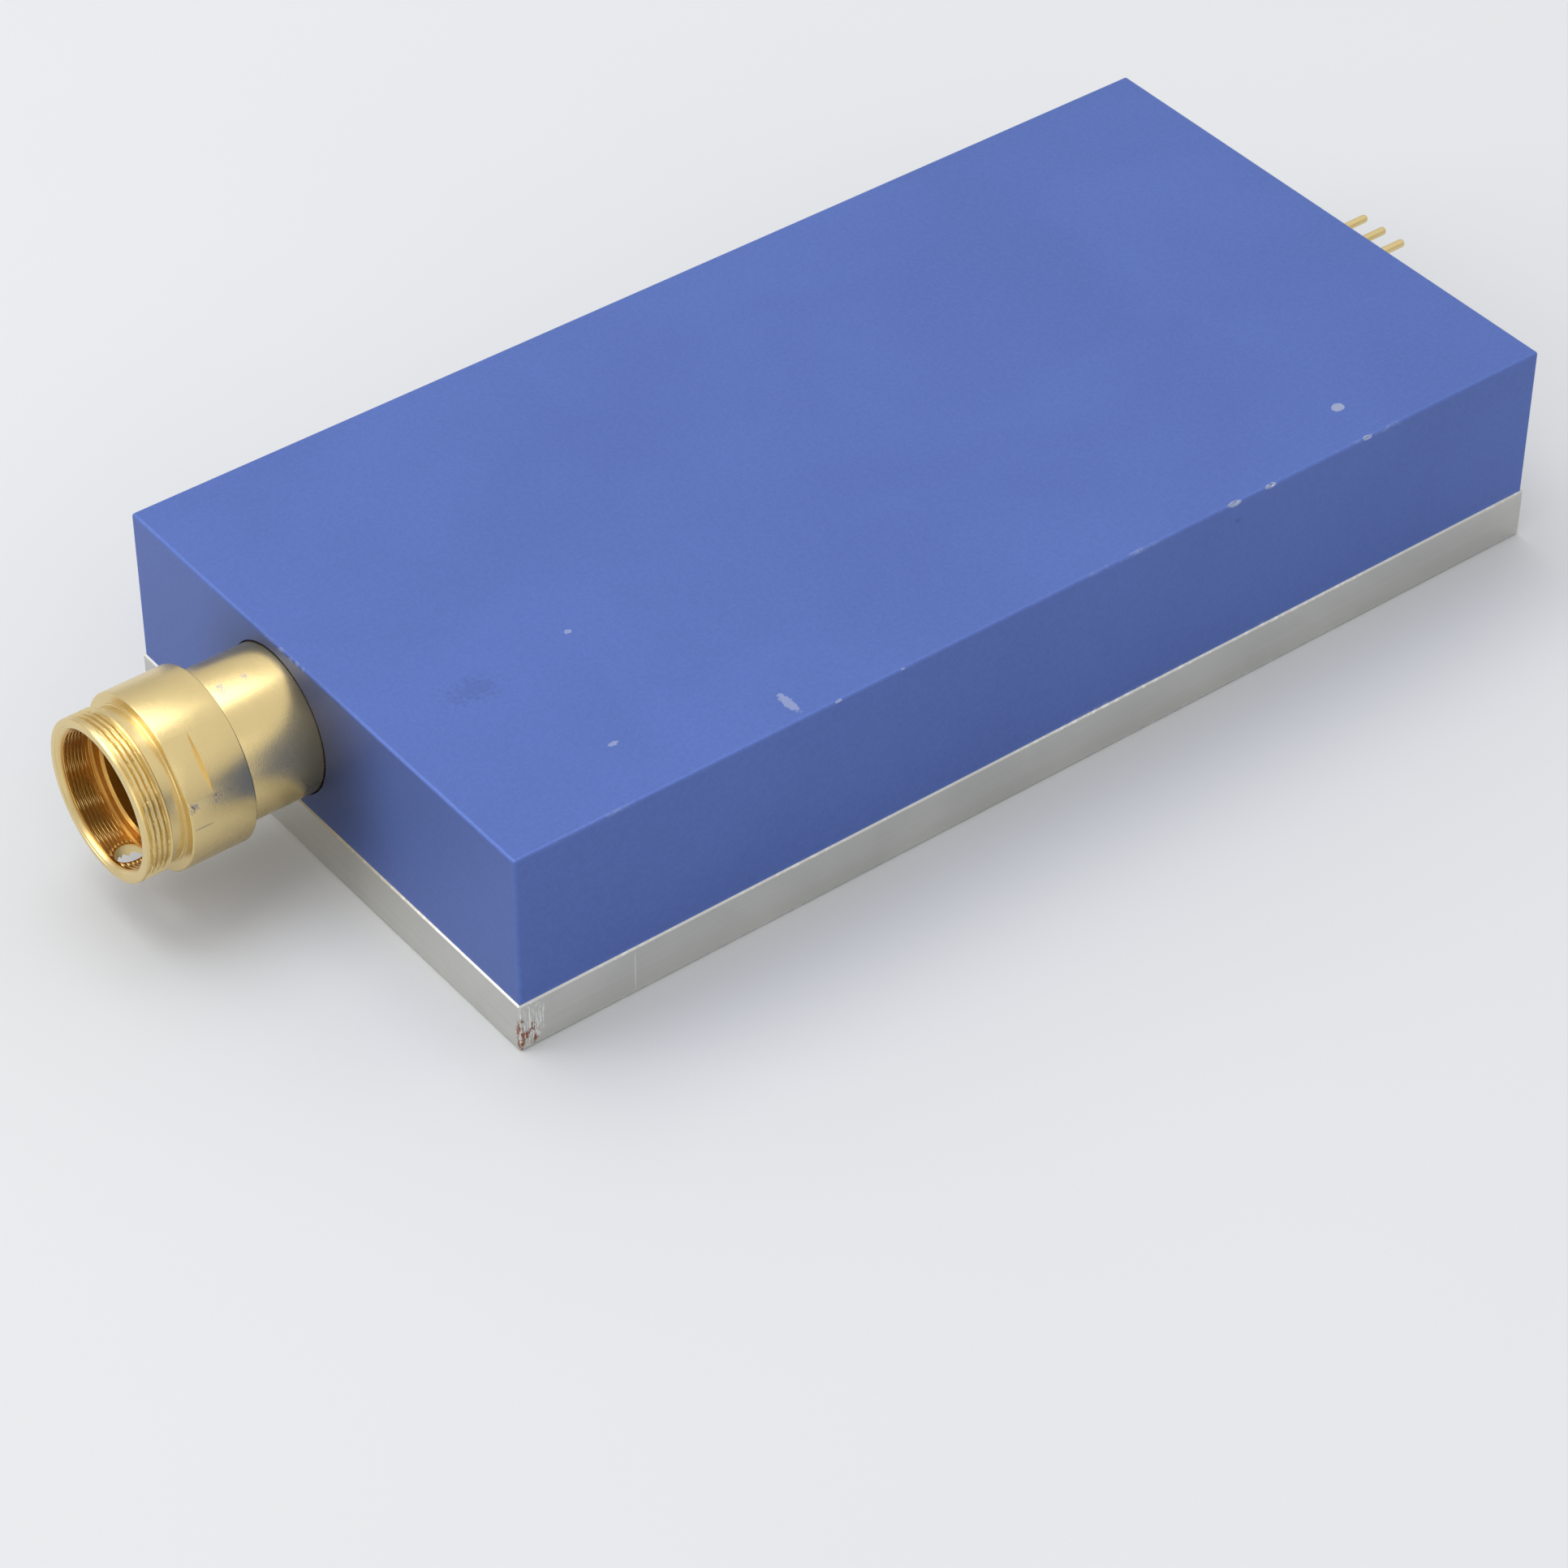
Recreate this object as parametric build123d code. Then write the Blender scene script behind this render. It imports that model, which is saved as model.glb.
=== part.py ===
from build123d import *
import os

# Fibre-coupled diode-laser module, in millimetres.
# The origin is the centre of the base plate's underside. +X runs from the optical
# connector's end to the pin end, +Z points up through the cover.

# ---------------------------------------------------------------- driving dimensions
LENGTH = 113.0
WIDTH = 57.0
HEIGHT = 20.6
BASE_THICKNESS = 5.0
LEDGE = 0.15                 # how far the base plate stands proud of the cover all round
EDGE_BREAK = 0.25            # chamfer on every machined outer edge
LIP_BREAK = 0.15             # smaller chamfer at a thin lip
FIT = 0.05                   # running clearance between a shaft and its hole, on the radius
THREAD_LAND = 0.25           # share of a thread's pitch that its flat crest takes

AXIS_Y = 6.3                 # optical axis: to one side of the middle
AXIS_Z = 12.4                # optical axis: above the underside
PIN_Z = 14.8                 # height of the electrical pins
PIN_PITCH = 2.54

# ---------------------------------------------------------------- housing
WALL = 3.0
ROOF = 2.6
COVER_X = LENGTH / 2 - LEDGE
COVER_Y = WIDTH / 2 - LEDGE
CAVITY_X = COVER_X - WALL
CAVITY_Y = COVER_Y - WALL
CAVITY_TOP = HEIGHT - ROOF
CORNER_BOSS = 6.0
CORNER_SCREW_SHIFT = 0.3     # corner screws sit this much outside their boss's middle
SIDE_BOSS_LENGTH = 12.0
SIDE_BOSS_DEPTH = 5.0
SIDE_BOSS_SPREAD = 2.8       # screw and dowel each side of a side boss's middle
GASKET_WIDTH = 1.0
GASKET_HEIGHT = 0.8
GASKET_SLACK = 0.1           # space each side of the gasket in its groove
GASKET_LINE = WALL / 2       # in from the cover's outer face

# ---------------------------------------------------------------- screws
COVER_SCREW_R = 1.25         # M2.5
BLOCK_SCREW_R = 1.5          # M3
BLOCK_SCREW_INSET = 2.2      # from a block's edge to its screws
BLOCK_TAP_DEPTH = 5.0        # tapped holes in the blocks on the base plate
BLOCK_ENGAGEMENT = 4.5
COVER_TAP_DEPTH = 7.0
COVER_ENGAGEMENT = 6.5
BENCH_TAP_DEPTH = 2.4
BENCH_ENGAGEMENT = 2.2
SCREW_CLEARANCE = 0.15       # round a screw's shank in the base plate
MOUNT_HOLE_R = 1.65          # tapping hole for M4
MOUNT_HOLE_DEPTH = 3.8
MOUNT_SPACING_X = 90.0
MOUNT_SPACING_Y = 40.0
DOWEL_R = 1.0
DOWEL_LENGTH = 7.0
HEAD_RATIO = 1.9             # countersunk head radius over thread radius
SOCKET_RATIO = 0.72          # hexagon socket's corner radius over thread radius
SOCKET_DEPTH_RATIO = 0.9
SCREW_INSET = 0.2            # how far a head sits below the underside

# ---------------------------------------------------------------- optical connector
FRONT_X = -COVER_X           # outer face of the cover's front wall
BARREL_R = 7.0
BARREL_OUT = 7.4             # how far the barrel stands out of the cover
BARREL_GAP = 0.12            # dark line round the barrel at the cover
SPIGOT_R = 6.45              # threaded nose that the coupling sleeve screws on
SPIGOT_OUT = 12.6
SPIGOT_THREAD_TURNS = 6
SOCKET_THREAD_TURNS = 7
COUPLING_PITCH = 0.5
COUPLING_DEPTH = 0.22
BARREL_BORE_R = 4.0
TAIL_R = 6.0                 # rear end of the barrel, inside the housing
TAIL_X = -43.0

SLEEVE_R = 8.15
SLEEVE_GAP = 0.06            # open line between sleeve and barrel when screwed home
SLEEVE_FACE_OUT = 13.73      # front face of the full diameter
SLEEVE_BREAK = 0.11          # chamfer on that face's rim
NECK_RING_R = 7.2            # low ring between that face and the neck
NECK_RING_OUT = 13.95
NECK_R = 7.1
NECK_OUT = 15.1
THREAD_START = 15.33
THREAD_TURNS = 4
THREAD_R = 7.5               # crest of the outer thread, M15 x 0.5
THREAD_PITCH = 0.5
THREAD_DEPTH = 0.3
THREAD_END = THREAD_START + THREAD_TURNS * THREAD_PITCH
SLEEVE_END = 17.8
SOCKET_DEEP = 12.8           # bottom of the socket that takes the spigot
PORT_R = 5.0                 # plain bore that centres the fibre plug
SHOULDER_OUT = 14.5          # flat ring between the port and the inner thread
INNER_THREAD_R = 6.3
INNER_THREAD_PITCH = 0.35
INNER_THREAD_DEPTH = 0.24
INNER_THREAD_TURNS = 7
MOUTH_R = 6.65
MOUTH_DEPTH = 0.35           # length of the mouth's lead-in cone
FLAT_DISTANCE = 7.68         # wrench flat, from the axis
FLAT_START = 11.2
FLAT_ANGLE = 140.0           # direction that one wrench flat faces, from +Y towards +Z
KEY_HOLE_R = 1.3
KEY_HOLE_OUT = 15.87
KEY_HOLE_ANGLE = -97.0
SEAL_SECTION = 0.35
SEAL_CLEARANCE = 0.05
SEAL_STAND = 0.02            # how far the barrel's seal stands out of its groove
SLEEVE_SEAL_OUT = 8.5
SLEEVE_SEAL_R = SPIGOT_R + SEAL_SECTION + SEAL_CLEARANCE

WINDOW_R = 5.1
WINDOW_CLEARANCE = 0.1       # round the window in the barrel's counterbore
WINDOW_BEVEL = 0.15
WINDOW_THICKNESS = 1.0
WINDOW_SEAT_OUT = 9.0
LENS_R = 4.85
LENS_SEAT_X = -57.0
LENS_EDGE = 1.6
LENS_SAG = 0.9
RING_THICKNESS = 1.0
RING_BORE_R = 4.2
SPANNER_SLOT = 0.9           # width and depth of a retaining ring's spanner slots
LENS_RING_WIDTH = 0.75
LENS_RING_THICKNESS = 1.6
CONTACT_GAP = 0.01           # keeps touching parts from sharing volume

MOUNT_BLOCK_FRONT = -53.0
MOUNT_BLOCK_LENGTH = 7.0
MOUNT_BLOCK_HALF_WIDTH = 10.5
MOUNT_BLOCK_TOP = 17.7
LOCKNUT_R = 6.9
LOCKNUT_LENGTH = 2.5
LOCKNUT_NOTCH = (1.2, 1.6)
MOUNT_BLOCK_BREAK = 0.5

# ---------------------------------------------------------------- laser stack
EMITTERS = 6
EMITTER_PITCH = 9.5
FIRST_EMITTER_X = -22.0
BEAM_STEP = 0.5              # each beam runs this much above the one in front of it
CHIP = (0.6, 4.0, 0.12)
SUBMOUNT = (5.0, 6.0, 0.5)
CHIP_FRONT_Y = -10.0         # light leaves the chips here, towards +Y
BENCH_NEAR_Y = -19.9
BENCH_LIP_Y = -8.5
BENCH_FAR_Y = 11.0
OPTICS_DROP = 3.0            # optics shelf below its beam
FAST_LENS = (2.0, 0.5, 0.5)
SLOW_LENS = (1.6, 1.2, 4.0)
SLOW_LENS_Y = -3.0
MIRROR = (4.0, 1.0)
MIRROR_BREAK = 0.08
RIBBON = 0.15
RIBBON_WIDTH = 1.2
TILE_MARGIN = 0.5            # from a tile's back edge to the metal soldered on it
TILE_OVERLAP = 1.0           # how far a strip reaches on to a tile

# ---------------------------------------------------------------- electrical end
HEADER_BACK_X = 48.5
HEADER_HALF_WIDTH = 12.5
NOSE_HALF_WIDTH = 10.8
NOSE_HALF_HEIGHT = 2.3
NOSE_GAP = 0.2
NOSE_FACE_X = COVER_X - 0.2  # the nose stops just short of the cover's outer face
OBROUND_FLAT = 0.1           # straight left at each end of the nose and its window
HEADER_GAP = 0.35            # space between the header and the cover's inner faces
PIN_TIP_ROUND = 0.8          # tip rounding over the pin's radius
SIGNAL_PIN_R = 0.4
SIGNAL_PIN_OUT = 8.2
POWER_PIN_R = 1.0
POWER_PIN_OUT = 4.4
POWER_PIN_Y = 8.0
PIN_INNER_X = 45.5
PIN_COLLAR = 0.25            # how much thicker a pin is where the header grips it
PIN_COLLAR_OUT = 0.3         # how far that thicker length stands out of the header
PIN_THINNING = 0.05          # how much slimmer a pin is inside the housing
BOARD_X = 46.0
BOARD = (0.8, 11.0, 7.0)
BUS_HEIGHT = 16.9
BUS_THICKNESS = 0.5
BUS_WIDTH = 3.0
BUS_FOOT = 4.0               # length soldered on the last tile
BUS_TAB = 1.5                # reach over a power pin's inner end
BOARD_DROP = 1.6             # board centre below the pins
THERMISTOR = (0.9, 1.6, 0.9)
THERMISTOR_AT = (-2.8, -4.15)    # centre across the board, and below the pins
THERMISTOR_ROUND = 0.2
PHOTODIODE = (1.1, 3.0, 3.0)
PHOTODIODE_AT = (2.1, -3.4)
PHOTODIODE_RECESS = (0.4, 2.0, 2.0)


# ---------------------------------------------------------------- shared helpers
def out(distance):
    """X of a plane that lies this far in front of the cover's front wall."""
    return FRONT_X - distance


def block(x0, x1, y0, y1, z0, z1):
    """A box between two corners."""
    size = (x1 - x0, y1 - y0, z1 - z0)
    return Pos((x0 + x1) / 2, (y0 + y1) / 2, (z0 + z1) / 2) * Box(*size)


def upright(x, y, z0, z1, radius):
    """A cylinder along Z between two heights."""
    return Pos(x, y, (z0 + z1) / 2) * Cylinder(radius, z1 - z0)


def along_x(x0, x1, y, z, radius):
    """A cylinder along X between two planes."""
    return Pos((x0 + x1) / 2, y, z) * Rot(0, 90, 0) * Cylinder(radius, x1 - x0)


def turned(outline):
    """A solid of revolution about the optical axis, from an outline of (x, radius) points."""
    face = make_face(Polyline(*outline, close=True))
    solid = revolve(Plane.XZ * face, Axis.X, 360)
    return Pos(0, AXIS_Y, AXIS_Z) * solid


def grooves(start, end, crest, root, pitch):
    """Outline points, going out from start to end, of V grooves cut between flat crests."""
    count = round(abs(end - start) / pitch)
    step = pitch if end > start else -pitch
    land = step * THREAD_LAND
    points = []
    for turn in range(count):
        x = start + turn * step
        points.append((out(x + land), crest))
        points.append((out(x + (step + land) / 2), root))
        points.append((out(x + step), crest))
    return points


def beam_height(index):
    """Height of one chip's beam. The beams lie one above the other about the optical axis."""
    return AXIS_Z + (index - (EMITTERS - 1) / 2) * BEAM_STEP


def emitter_x(index):
    """Middle of one chip along the module."""
    return FIRST_EMITTER_X + index * EMITTER_PITCH


def corner_screw_points():
    """Cover screws in the four corner bosses."""
    inset = CORNER_BOSS / 2 - CORNER_SCREW_SHIFT
    reach_x = CAVITY_X - inset
    reach_y = CAVITY_Y - inset
    return [(sx * reach_x, sy * reach_y) for sx in (-1, 1) for sy in (-1, 1)]


def side_boss_y():
    """Centre line of the screw and dowel in a side boss, from the middle."""
    return CAVITY_Y - SIDE_BOSS_DEPTH / 2


def cover_screw_points():
    """All six cover screws."""
    middle = [(-SIDE_BOSS_SPREAD, sy * side_boss_y()) for sy in (-1, 1)]
    return corner_screw_points() + middle


def dowel_points():
    """The two locating dowels, beside the middle screws."""
    return [(SIDE_BOSS_SPREAD, sy * side_boss_y()) for sy in (-1, 1)]


def mount_block_screw_points():
    """Two screws that hold the receptacle's mount block."""
    x = MOUNT_BLOCK_FRONT + MOUNT_BLOCK_LENGTH / 2
    spread = MOUNT_BLOCK_HALF_WIDTH - BLOCK_SCREW_INSET
    return [(x, AXIS_Y + side * spread) for side in (-1, 1)]


def bench_screw_points():
    """Four screws that pull the optical bench down on the base plate."""
    first = emitter_x(0)
    last = emitter_x(EMITTERS - 1)
    near = BENCH_NEAR_Y + BLOCK_SCREW_INSET
    far = BENCH_FAR_Y - BLOCK_SCREW_INSET
    return [(x, y) for x in (first, last) for y in (near, far)]


def header_screw_points():
    """Two screws that hold the pin header."""
    x = (HEADER_BACK_X + CAVITY_X) / 2
    return [(x, side * (HEADER_HALF_WIDTH - BLOCK_SCREW_INSET)) for side in (-1, 1)]


def base_screw_layout():
    """Every screw that comes up through the base plate: place and thread radius."""
    layout = [(point, COVER_SCREW_R) for point in cover_screw_points()]
    small = mount_block_screw_points() + bench_screw_points() + header_screw_points()
    layout += [(point, BLOCK_SCREW_R) for point in small]
    return layout


def tapped_hole(x, y, depth, thread_r):
    """The hole above the base plate that a screw's thread fills."""
    return upright(x, y, BASE_THICKNESS, BASE_THICKNESS + depth, thread_r)


# ---------------------------------------------------------------- housing pieces
def base_plate():
    """Flat cold plate, with countersunk screw holes, tapped mounting holes and a gasket groove."""
    plate = block(-LENGTH / 2, LENGTH / 2, -WIDTH / 2, WIDTH / 2, 0, BASE_THICKNESS)
    plate = chamfer(plate.edges(), EDGE_BREAK * 0.6)
    for (x, y), thread_r in base_screw_layout():
        head_r = thread_r * HEAD_RATIO + SCREW_INSET
        plate -= upright(x, y, 0, BASE_THICKNESS, thread_r + SCREW_CLEARANCE)
        plate -= Pos(x, y, head_r / 2) * Cone(head_r, 0, head_r)
    for sx in (-1, 1):
        for sy in (-1, 1):
            x = sx * MOUNT_SPACING_X / 2
            y = sy * MOUNT_SPACING_Y / 2
            plate -= upright(x, y, 0, MOUNT_HOLE_DEPTH, MOUNT_HOLE_R)
    for x, y in dowel_points():
        plate -= upright(x, y, BASE_THICKNESS - DOWEL_LENGTH / 2, BASE_THICKNESS, DOWEL_R)
    return plate - gasket_ring(GASKET_SLACK, GASKET_HEIGHT)


def gasket_ring(slack, height):
    """A square-section ring below the cover's wall, wider by the slack on each side."""
    outer = GASKET_LINE - GASKET_WIDTH / 2 - slack
    inner = GASKET_LINE + GASKET_WIDTH / 2 + slack
    low = BASE_THICKNESS - height
    ring = block(-COVER_X + outer, COVER_X - outer, -COVER_Y + outer, COVER_Y - outer,
                 low, BASE_THICKNESS)
    ring -= block(-COVER_X + inner, COVER_X - inner, -COVER_Y + inner, COVER_Y - inner,
                  low, BASE_THICKNESS)
    return ring


def cover_gasket():
    """Rubber cord in the base plate's groove."""
    return gasket_ring(0, GASKET_HEIGHT)


def cover():
    """One-piece lid milled from solid, open below, with bosses for screws and dowels."""
    shell = block(-COVER_X, COVER_X, -COVER_Y, COVER_Y, BASE_THICKNESS, HEIGHT)
    outer_edges = shell.edges().filter_by_position(
        Axis.Z, BASE_THICKNESS + EDGE_BREAK, HEIGHT)
    shell = chamfer(outer_edges, EDGE_BREAK)
    cavity = block(-CAVITY_X, CAVITY_X, -CAVITY_Y, CAVITY_Y, BASE_THICKNESS, CAVITY_TOP)
    for sx in (-1, 1):
        for sy in (-1, 1):
            x = sx * (CAVITY_X - CORNER_BOSS / 2)
            y = sy * (CAVITY_Y - CORNER_BOSS / 2)
            half = CORNER_BOSS / 2
            cavity -= block(x - half, x + half, y - half, y + half, BASE_THICKNESS, CAVITY_TOP)
    for sy in (-1, 1):
        near, far = sorted((sy * CAVITY_Y, sy * (CAVITY_Y - SIDE_BOSS_DEPTH)))
        half = SIDE_BOSS_LENGTH / 2
        cavity -= block(-half, half, near, far, BASE_THICKNESS, CAVITY_TOP)
    shell -= cavity
    shell -= along_x(-COVER_X, TAIL_X + 0.5, AXIS_Y, AXIS_Z, BARREL_R + BARREL_GAP)
    nose_y = NOSE_HALF_WIDTH + NOSE_GAP
    nose_z = NOSE_HALF_HEIGHT + NOSE_GAP
    window = block(CAVITY_X, COVER_X, -nose_y, nose_y, PIN_Z - nose_z, PIN_Z + nose_z)
    shell -= fillet(window.edges().filter_by(Axis.X), nose_z - OBROUND_FLAT)
    for x, y in cover_screw_points():
        shell -= tapped_hole(x, y, COVER_TAP_DEPTH, COVER_SCREW_R)
    for x, y in dowel_points():
        shell -= tapped_hole(x, y, DOWEL_LENGTH / 2, DOWEL_R)
    return shell


def flat_head_screw(x, y, thread_r, top):
    """Countersunk screw that comes up from the underside, with a hexagon socket."""
    head_r = thread_r * HEAD_RATIO
    head_height = head_r - thread_r
    middle = Pos(x, y, SCREW_INSET + head_height / 2)
    head = middle * Cone(head_r, thread_r, head_height)
    shank = upright(x, y, SCREW_INSET, top, thread_r)
    hexagon = Pos(x, y, SCREW_INSET) * RegularPolygon(thread_r * SOCKET_RATIO, 6)
    return head + shank - extrude(hexagon, thread_r * SOCKET_DEPTH_RATIO)


def screw_set(points, thread_r, engagement):
    """Several equal screws as one group of solids."""
    top = BASE_THICKNESS + engagement
    return [flat_head_screw(x, y, thread_r, top) for x, y in points]


def locating_dowels():
    """Two pins that line the cover up with the base plate."""
    half = DOWEL_LENGTH / 2
    return [upright(x, y, BASE_THICKNESS - half, BASE_THICKNESS + half, DOWEL_R)
            for x, y in dowel_points()]


# ---------------------------------------------------------------- optical connector
def receptacle_barrel():
    """Rear half of the connector: a tube through the cover's wall, threaded at its nose."""
    seal_groove_r = BARREL_R - 2 * SEAL_SECTION - SEAL_CLEARANCE
    seal_half = SEAL_SECTION + SEAL_CLEARANCE
    counterbore_r = WINDOW_R + WINDOW_CLEARANCE
    lens_bore_r = LENS_R + FIT
    thread_front = SPIGOT_OUT - LIP_BREAK
    thread_back = thread_front - SPIGOT_THREAD_TURNS * COUPLING_PITCH
    outline = [
        (out(SPIGOT_OUT), counterbore_r),
        (out(SPIGOT_OUT), SPIGOT_R - LIP_BREAK),
        (out(thread_front), SPIGOT_R),
    ]
    outline += grooves(thread_front, thread_back, SPIGOT_R,
                       SPIGOT_R - COUPLING_DEPTH, COUPLING_PITCH)
    outline += [
        (out(BARREL_OUT), SPIGOT_R),
        (out(BARREL_OUT), BARREL_R - LIP_BREAK),
        (out(BARREL_OUT - LIP_BREAK), BARREL_R),
        (out(-WALL / 2 + seal_half), BARREL_R),
        (out(-WALL / 2 + seal_half), seal_groove_r),
        (out(-WALL / 2 - seal_half), seal_groove_r),
        (out(-WALL / 2 - seal_half), BARREL_R),
        (MOUNT_BLOCK_FRONT, BARREL_R),
        (MOUNT_BLOCK_FRONT, TAIL_R),
        (TAIL_X, TAIL_R),
        (TAIL_X, lens_bore_r),
        (LENS_SEAT_X, lens_bore_r),
        (LENS_SEAT_X, BARREL_BORE_R),
        (out(WINDOW_SEAT_OUT), BARREL_BORE_R),
        (out(WINDOW_SEAT_OUT), counterbore_r),
    ]
    return turned(outline)


def seal_ring(centre_x, centre_r):
    """A round-section rubber ring about the optical axis."""
    ring = Rot(0, 90, 0) * Torus(centre_r, SEAL_SECTION)
    return Pos(centre_x, AXIS_Y, AXIS_Z) * ring


def barrel_seal_ring():
    """Seals the barrel in the cover's front wall."""
    return seal_ring(out(-WALL / 2), BARREL_R - SEAL_SECTION + SEAL_STAND)


def sleeve_seal_ring():
    """Rides in the coupling sleeve's groove and seals it on the barrel's nose."""
    return seal_ring(out(SLEEVE_SEAL_OUT), SLEEVE_SEAL_R)


def coupling_sleeve():
    """Front half of the connector: screws on the barrel, carries the thread for the fibre plug."""
    socket_r = SPIGOT_R + FIT
    seal_half = SEAL_SECTION + SEAL_CLEARANCE
    outside = [
        (out(BARREL_OUT + SLEEVE_GAP), SLEEVE_R - EDGE_BREAK),
        (out(BARREL_OUT + SLEEVE_GAP + EDGE_BREAK), SLEEVE_R),
        (out(SLEEVE_FACE_OUT - SLEEVE_BREAK), SLEEVE_R),
        (out(SLEEVE_FACE_OUT), SLEEVE_R - SLEEVE_BREAK),
        (out(SLEEVE_FACE_OUT), NECK_RING_R),
        (out(NECK_RING_OUT), NECK_RING_R),
        (out(NECK_RING_OUT), NECK_R),
        (out(NECK_OUT), NECK_R),
        (out(THREAD_START), THREAD_R),
    ]
    outside += grooves(THREAD_START, THREAD_END, THREAD_R, THREAD_R - THREAD_DEPTH, THREAD_PITCH)
    outside += [
        (out(SLEEVE_END - LIP_BREAK), THREAD_R),
        (out(SLEEVE_END), THREAD_R - LIP_BREAK),
    ]
    mouth_end = SLEEVE_END - MOUTH_DEPTH
    thread_end = mouth_end - INNER_THREAD_TURNS * INNER_THREAD_PITCH
    inside = [
        (out(SLEEVE_END), MOUTH_R),
        (out(mouth_end), INNER_THREAD_R),
    ]
    inside += grooves(mouth_end, thread_end, INNER_THREAD_R,
                      INNER_THREAD_R + INNER_THREAD_DEPTH, INNER_THREAD_PITCH)
    inside += [
        (out(SHOULDER_OUT), INNER_THREAD_R),
        (out(SHOULDER_OUT), PORT_R),
        (out(SOCKET_DEEP), PORT_R),
        (out(SOCKET_DEEP), socket_r),
    ]
    socket_thread_back = SOCKET_DEEP - SOCKET_THREAD_TURNS * COUPLING_PITCH
    inside += grooves(SOCKET_DEEP, socket_thread_back, socket_r,
                      socket_r + COUPLING_DEPTH, COUPLING_PITCH)
    inside += [
        (out(SLEEVE_SEAL_OUT + seal_half), socket_r),
        (out(SLEEVE_SEAL_OUT + seal_half), SLEEVE_SEAL_R + seal_half),
        (out(SLEEVE_SEAL_OUT - seal_half), SLEEVE_SEAL_R + seal_half),
        (out(SLEEVE_SEAL_OUT - seal_half), socket_r),
        (out(BARREL_OUT + SLEEVE_GAP), socket_r),
    ]
    sleeve = turned(outside + inside)
    for side in (0, 180):
        sleeve -= wrench_flat(FLAT_ANGLE + side)
    return sleeve - key_hole()


def wrench_flat(angle):
    """The material that one wrench flat takes off the sleeve's front half."""
    depth = SLEEVE_R
    front = NECK_RING_OUT
    slab = Box(front - FLAT_START, depth, 2 * SLEEVE_R)
    turned_slab = Rot(angle, 0, 0) * Pos(0, FLAT_DISTANCE + depth / 2, 0) * slab
    return Pos(out((front + FLAT_START) / 2), AXIS_Y, AXIS_Z) * turned_slab


def key_hole():
    """The small radial hole through the sleeve's thread wall."""
    drill = Rot(90, 0, 0) * Cylinder(KEY_HOLE_R, THREAD_R)
    radial = Rot(KEY_HOLE_ANGLE, 0, 0) * Pos(0, THREAD_R, 0) * drill
    return Pos(out(KEY_HOLE_OUT), AXIS_Y, AXIS_Z) * radial


def disc_ring(x0, x1, outer, inner):
    """A plain ring about the optical axis."""
    return turned([(x0, inner), (x0, outer), (x1, outer), (x1, inner)])


def protective_window():
    """Flat coated glass that keeps dust out of the barrel."""
    seat = out(WINDOW_SEAT_OUT)
    front = seat - WINDOW_THICKNESS
    return turned([
        (front, 0),
        (front, WINDOW_R - WINDOW_BEVEL),
        (front + WINDOW_BEVEL, WINDOW_R),
        (seat - WINDOW_BEVEL, WINDOW_R),
        (seat, WINDOW_R - WINDOW_BEVEL),
        (seat, 0),
    ])


def spanner_slots(x, slot_reach):
    """A bar across the axis that cuts the two slots of a retaining ring."""
    return Pos(x, AXIS_Y, AXIS_Z) * Box(SPANNER_SLOT, 2 * slot_reach, SPANNER_SLOT)


def window_retaining_ring():
    """Screws in front of the window, with two spanner slots."""
    seat = out(WINDOW_SEAT_OUT) - WINDOW_THICKNESS
    front = seat - RING_THICKNESS
    return disc_ring(front, seat, WINDOW_R, RING_BORE_R) - spanner_slots(front, WINDOW_R)


def focusing_lens():
    """Plano-convex lens that brings the stacked beams to the fibre's face."""
    edge_x = LENS_SEAT_X + LENS_EDGE
    flat_side = Polyline((edge_x, LENS_R), (LENS_SEAT_X, LENS_R), (LENS_SEAT_X, 0),
                         (edge_x + LENS_SAG, 0))
    radius = (LENS_R ** 2 + LENS_SAG ** 2) / (2 * LENS_SAG)
    middle_r = LENS_R / 2
    middle_x = edge_x + LENS_SAG - radius + (radius ** 2 - middle_r ** 2) ** 0.5
    crown = ThreePointArc((edge_x + LENS_SAG, 0), (middle_x, middle_r), (edge_x, LENS_R))
    lens = revolve(Plane.XZ * make_face(flat_side + crown), Axis.X, 360)
    return Pos(0, AXIS_Y, AXIS_Z) * lens


def lens_retaining_ring():
    """Bears on the lens's crown near its edge and holds it against its seat."""
    inner_r = LENS_R - LENS_RING_WIDTH
    crown_radius = (LENS_R ** 2 + LENS_SAG ** 2) / (2 * LENS_SAG)
    crown_sag = (crown_radius ** 2 - inner_r ** 2) ** 0.5 - (crown_radius - LENS_SAG)
    front = LENS_SEAT_X + LENS_EDGE + crown_sag + CONTACT_GAP
    back = front + LENS_RING_THICKNESS
    return disc_ring(front, back, LENS_R, inner_r) - spanner_slots(back, LENS_R)


def receptacle_mount():
    """Block on the base plate that the barrel's tail is clamped in."""
    y0 = AXIS_Y - MOUNT_BLOCK_HALF_WIDTH
    y1 = AXIS_Y + MOUNT_BLOCK_HALF_WIDTH
    back = MOUNT_BLOCK_FRONT + MOUNT_BLOCK_LENGTH
    body = block(MOUNT_BLOCK_FRONT, back, y0, y1, BASE_THICKNESS, MOUNT_BLOCK_TOP)
    body = chamfer(body.edges().group_by(Axis.Z)[-1], MOUNT_BLOCK_BREAK)
    body -= along_x(MOUNT_BLOCK_FRONT, back, AXIS_Y, AXIS_Z, TAIL_R)
    for x, y in mount_block_screw_points():
        body -= tapped_hole(x, y, BLOCK_TAP_DEPTH, BLOCK_SCREW_R)
    return body


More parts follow.
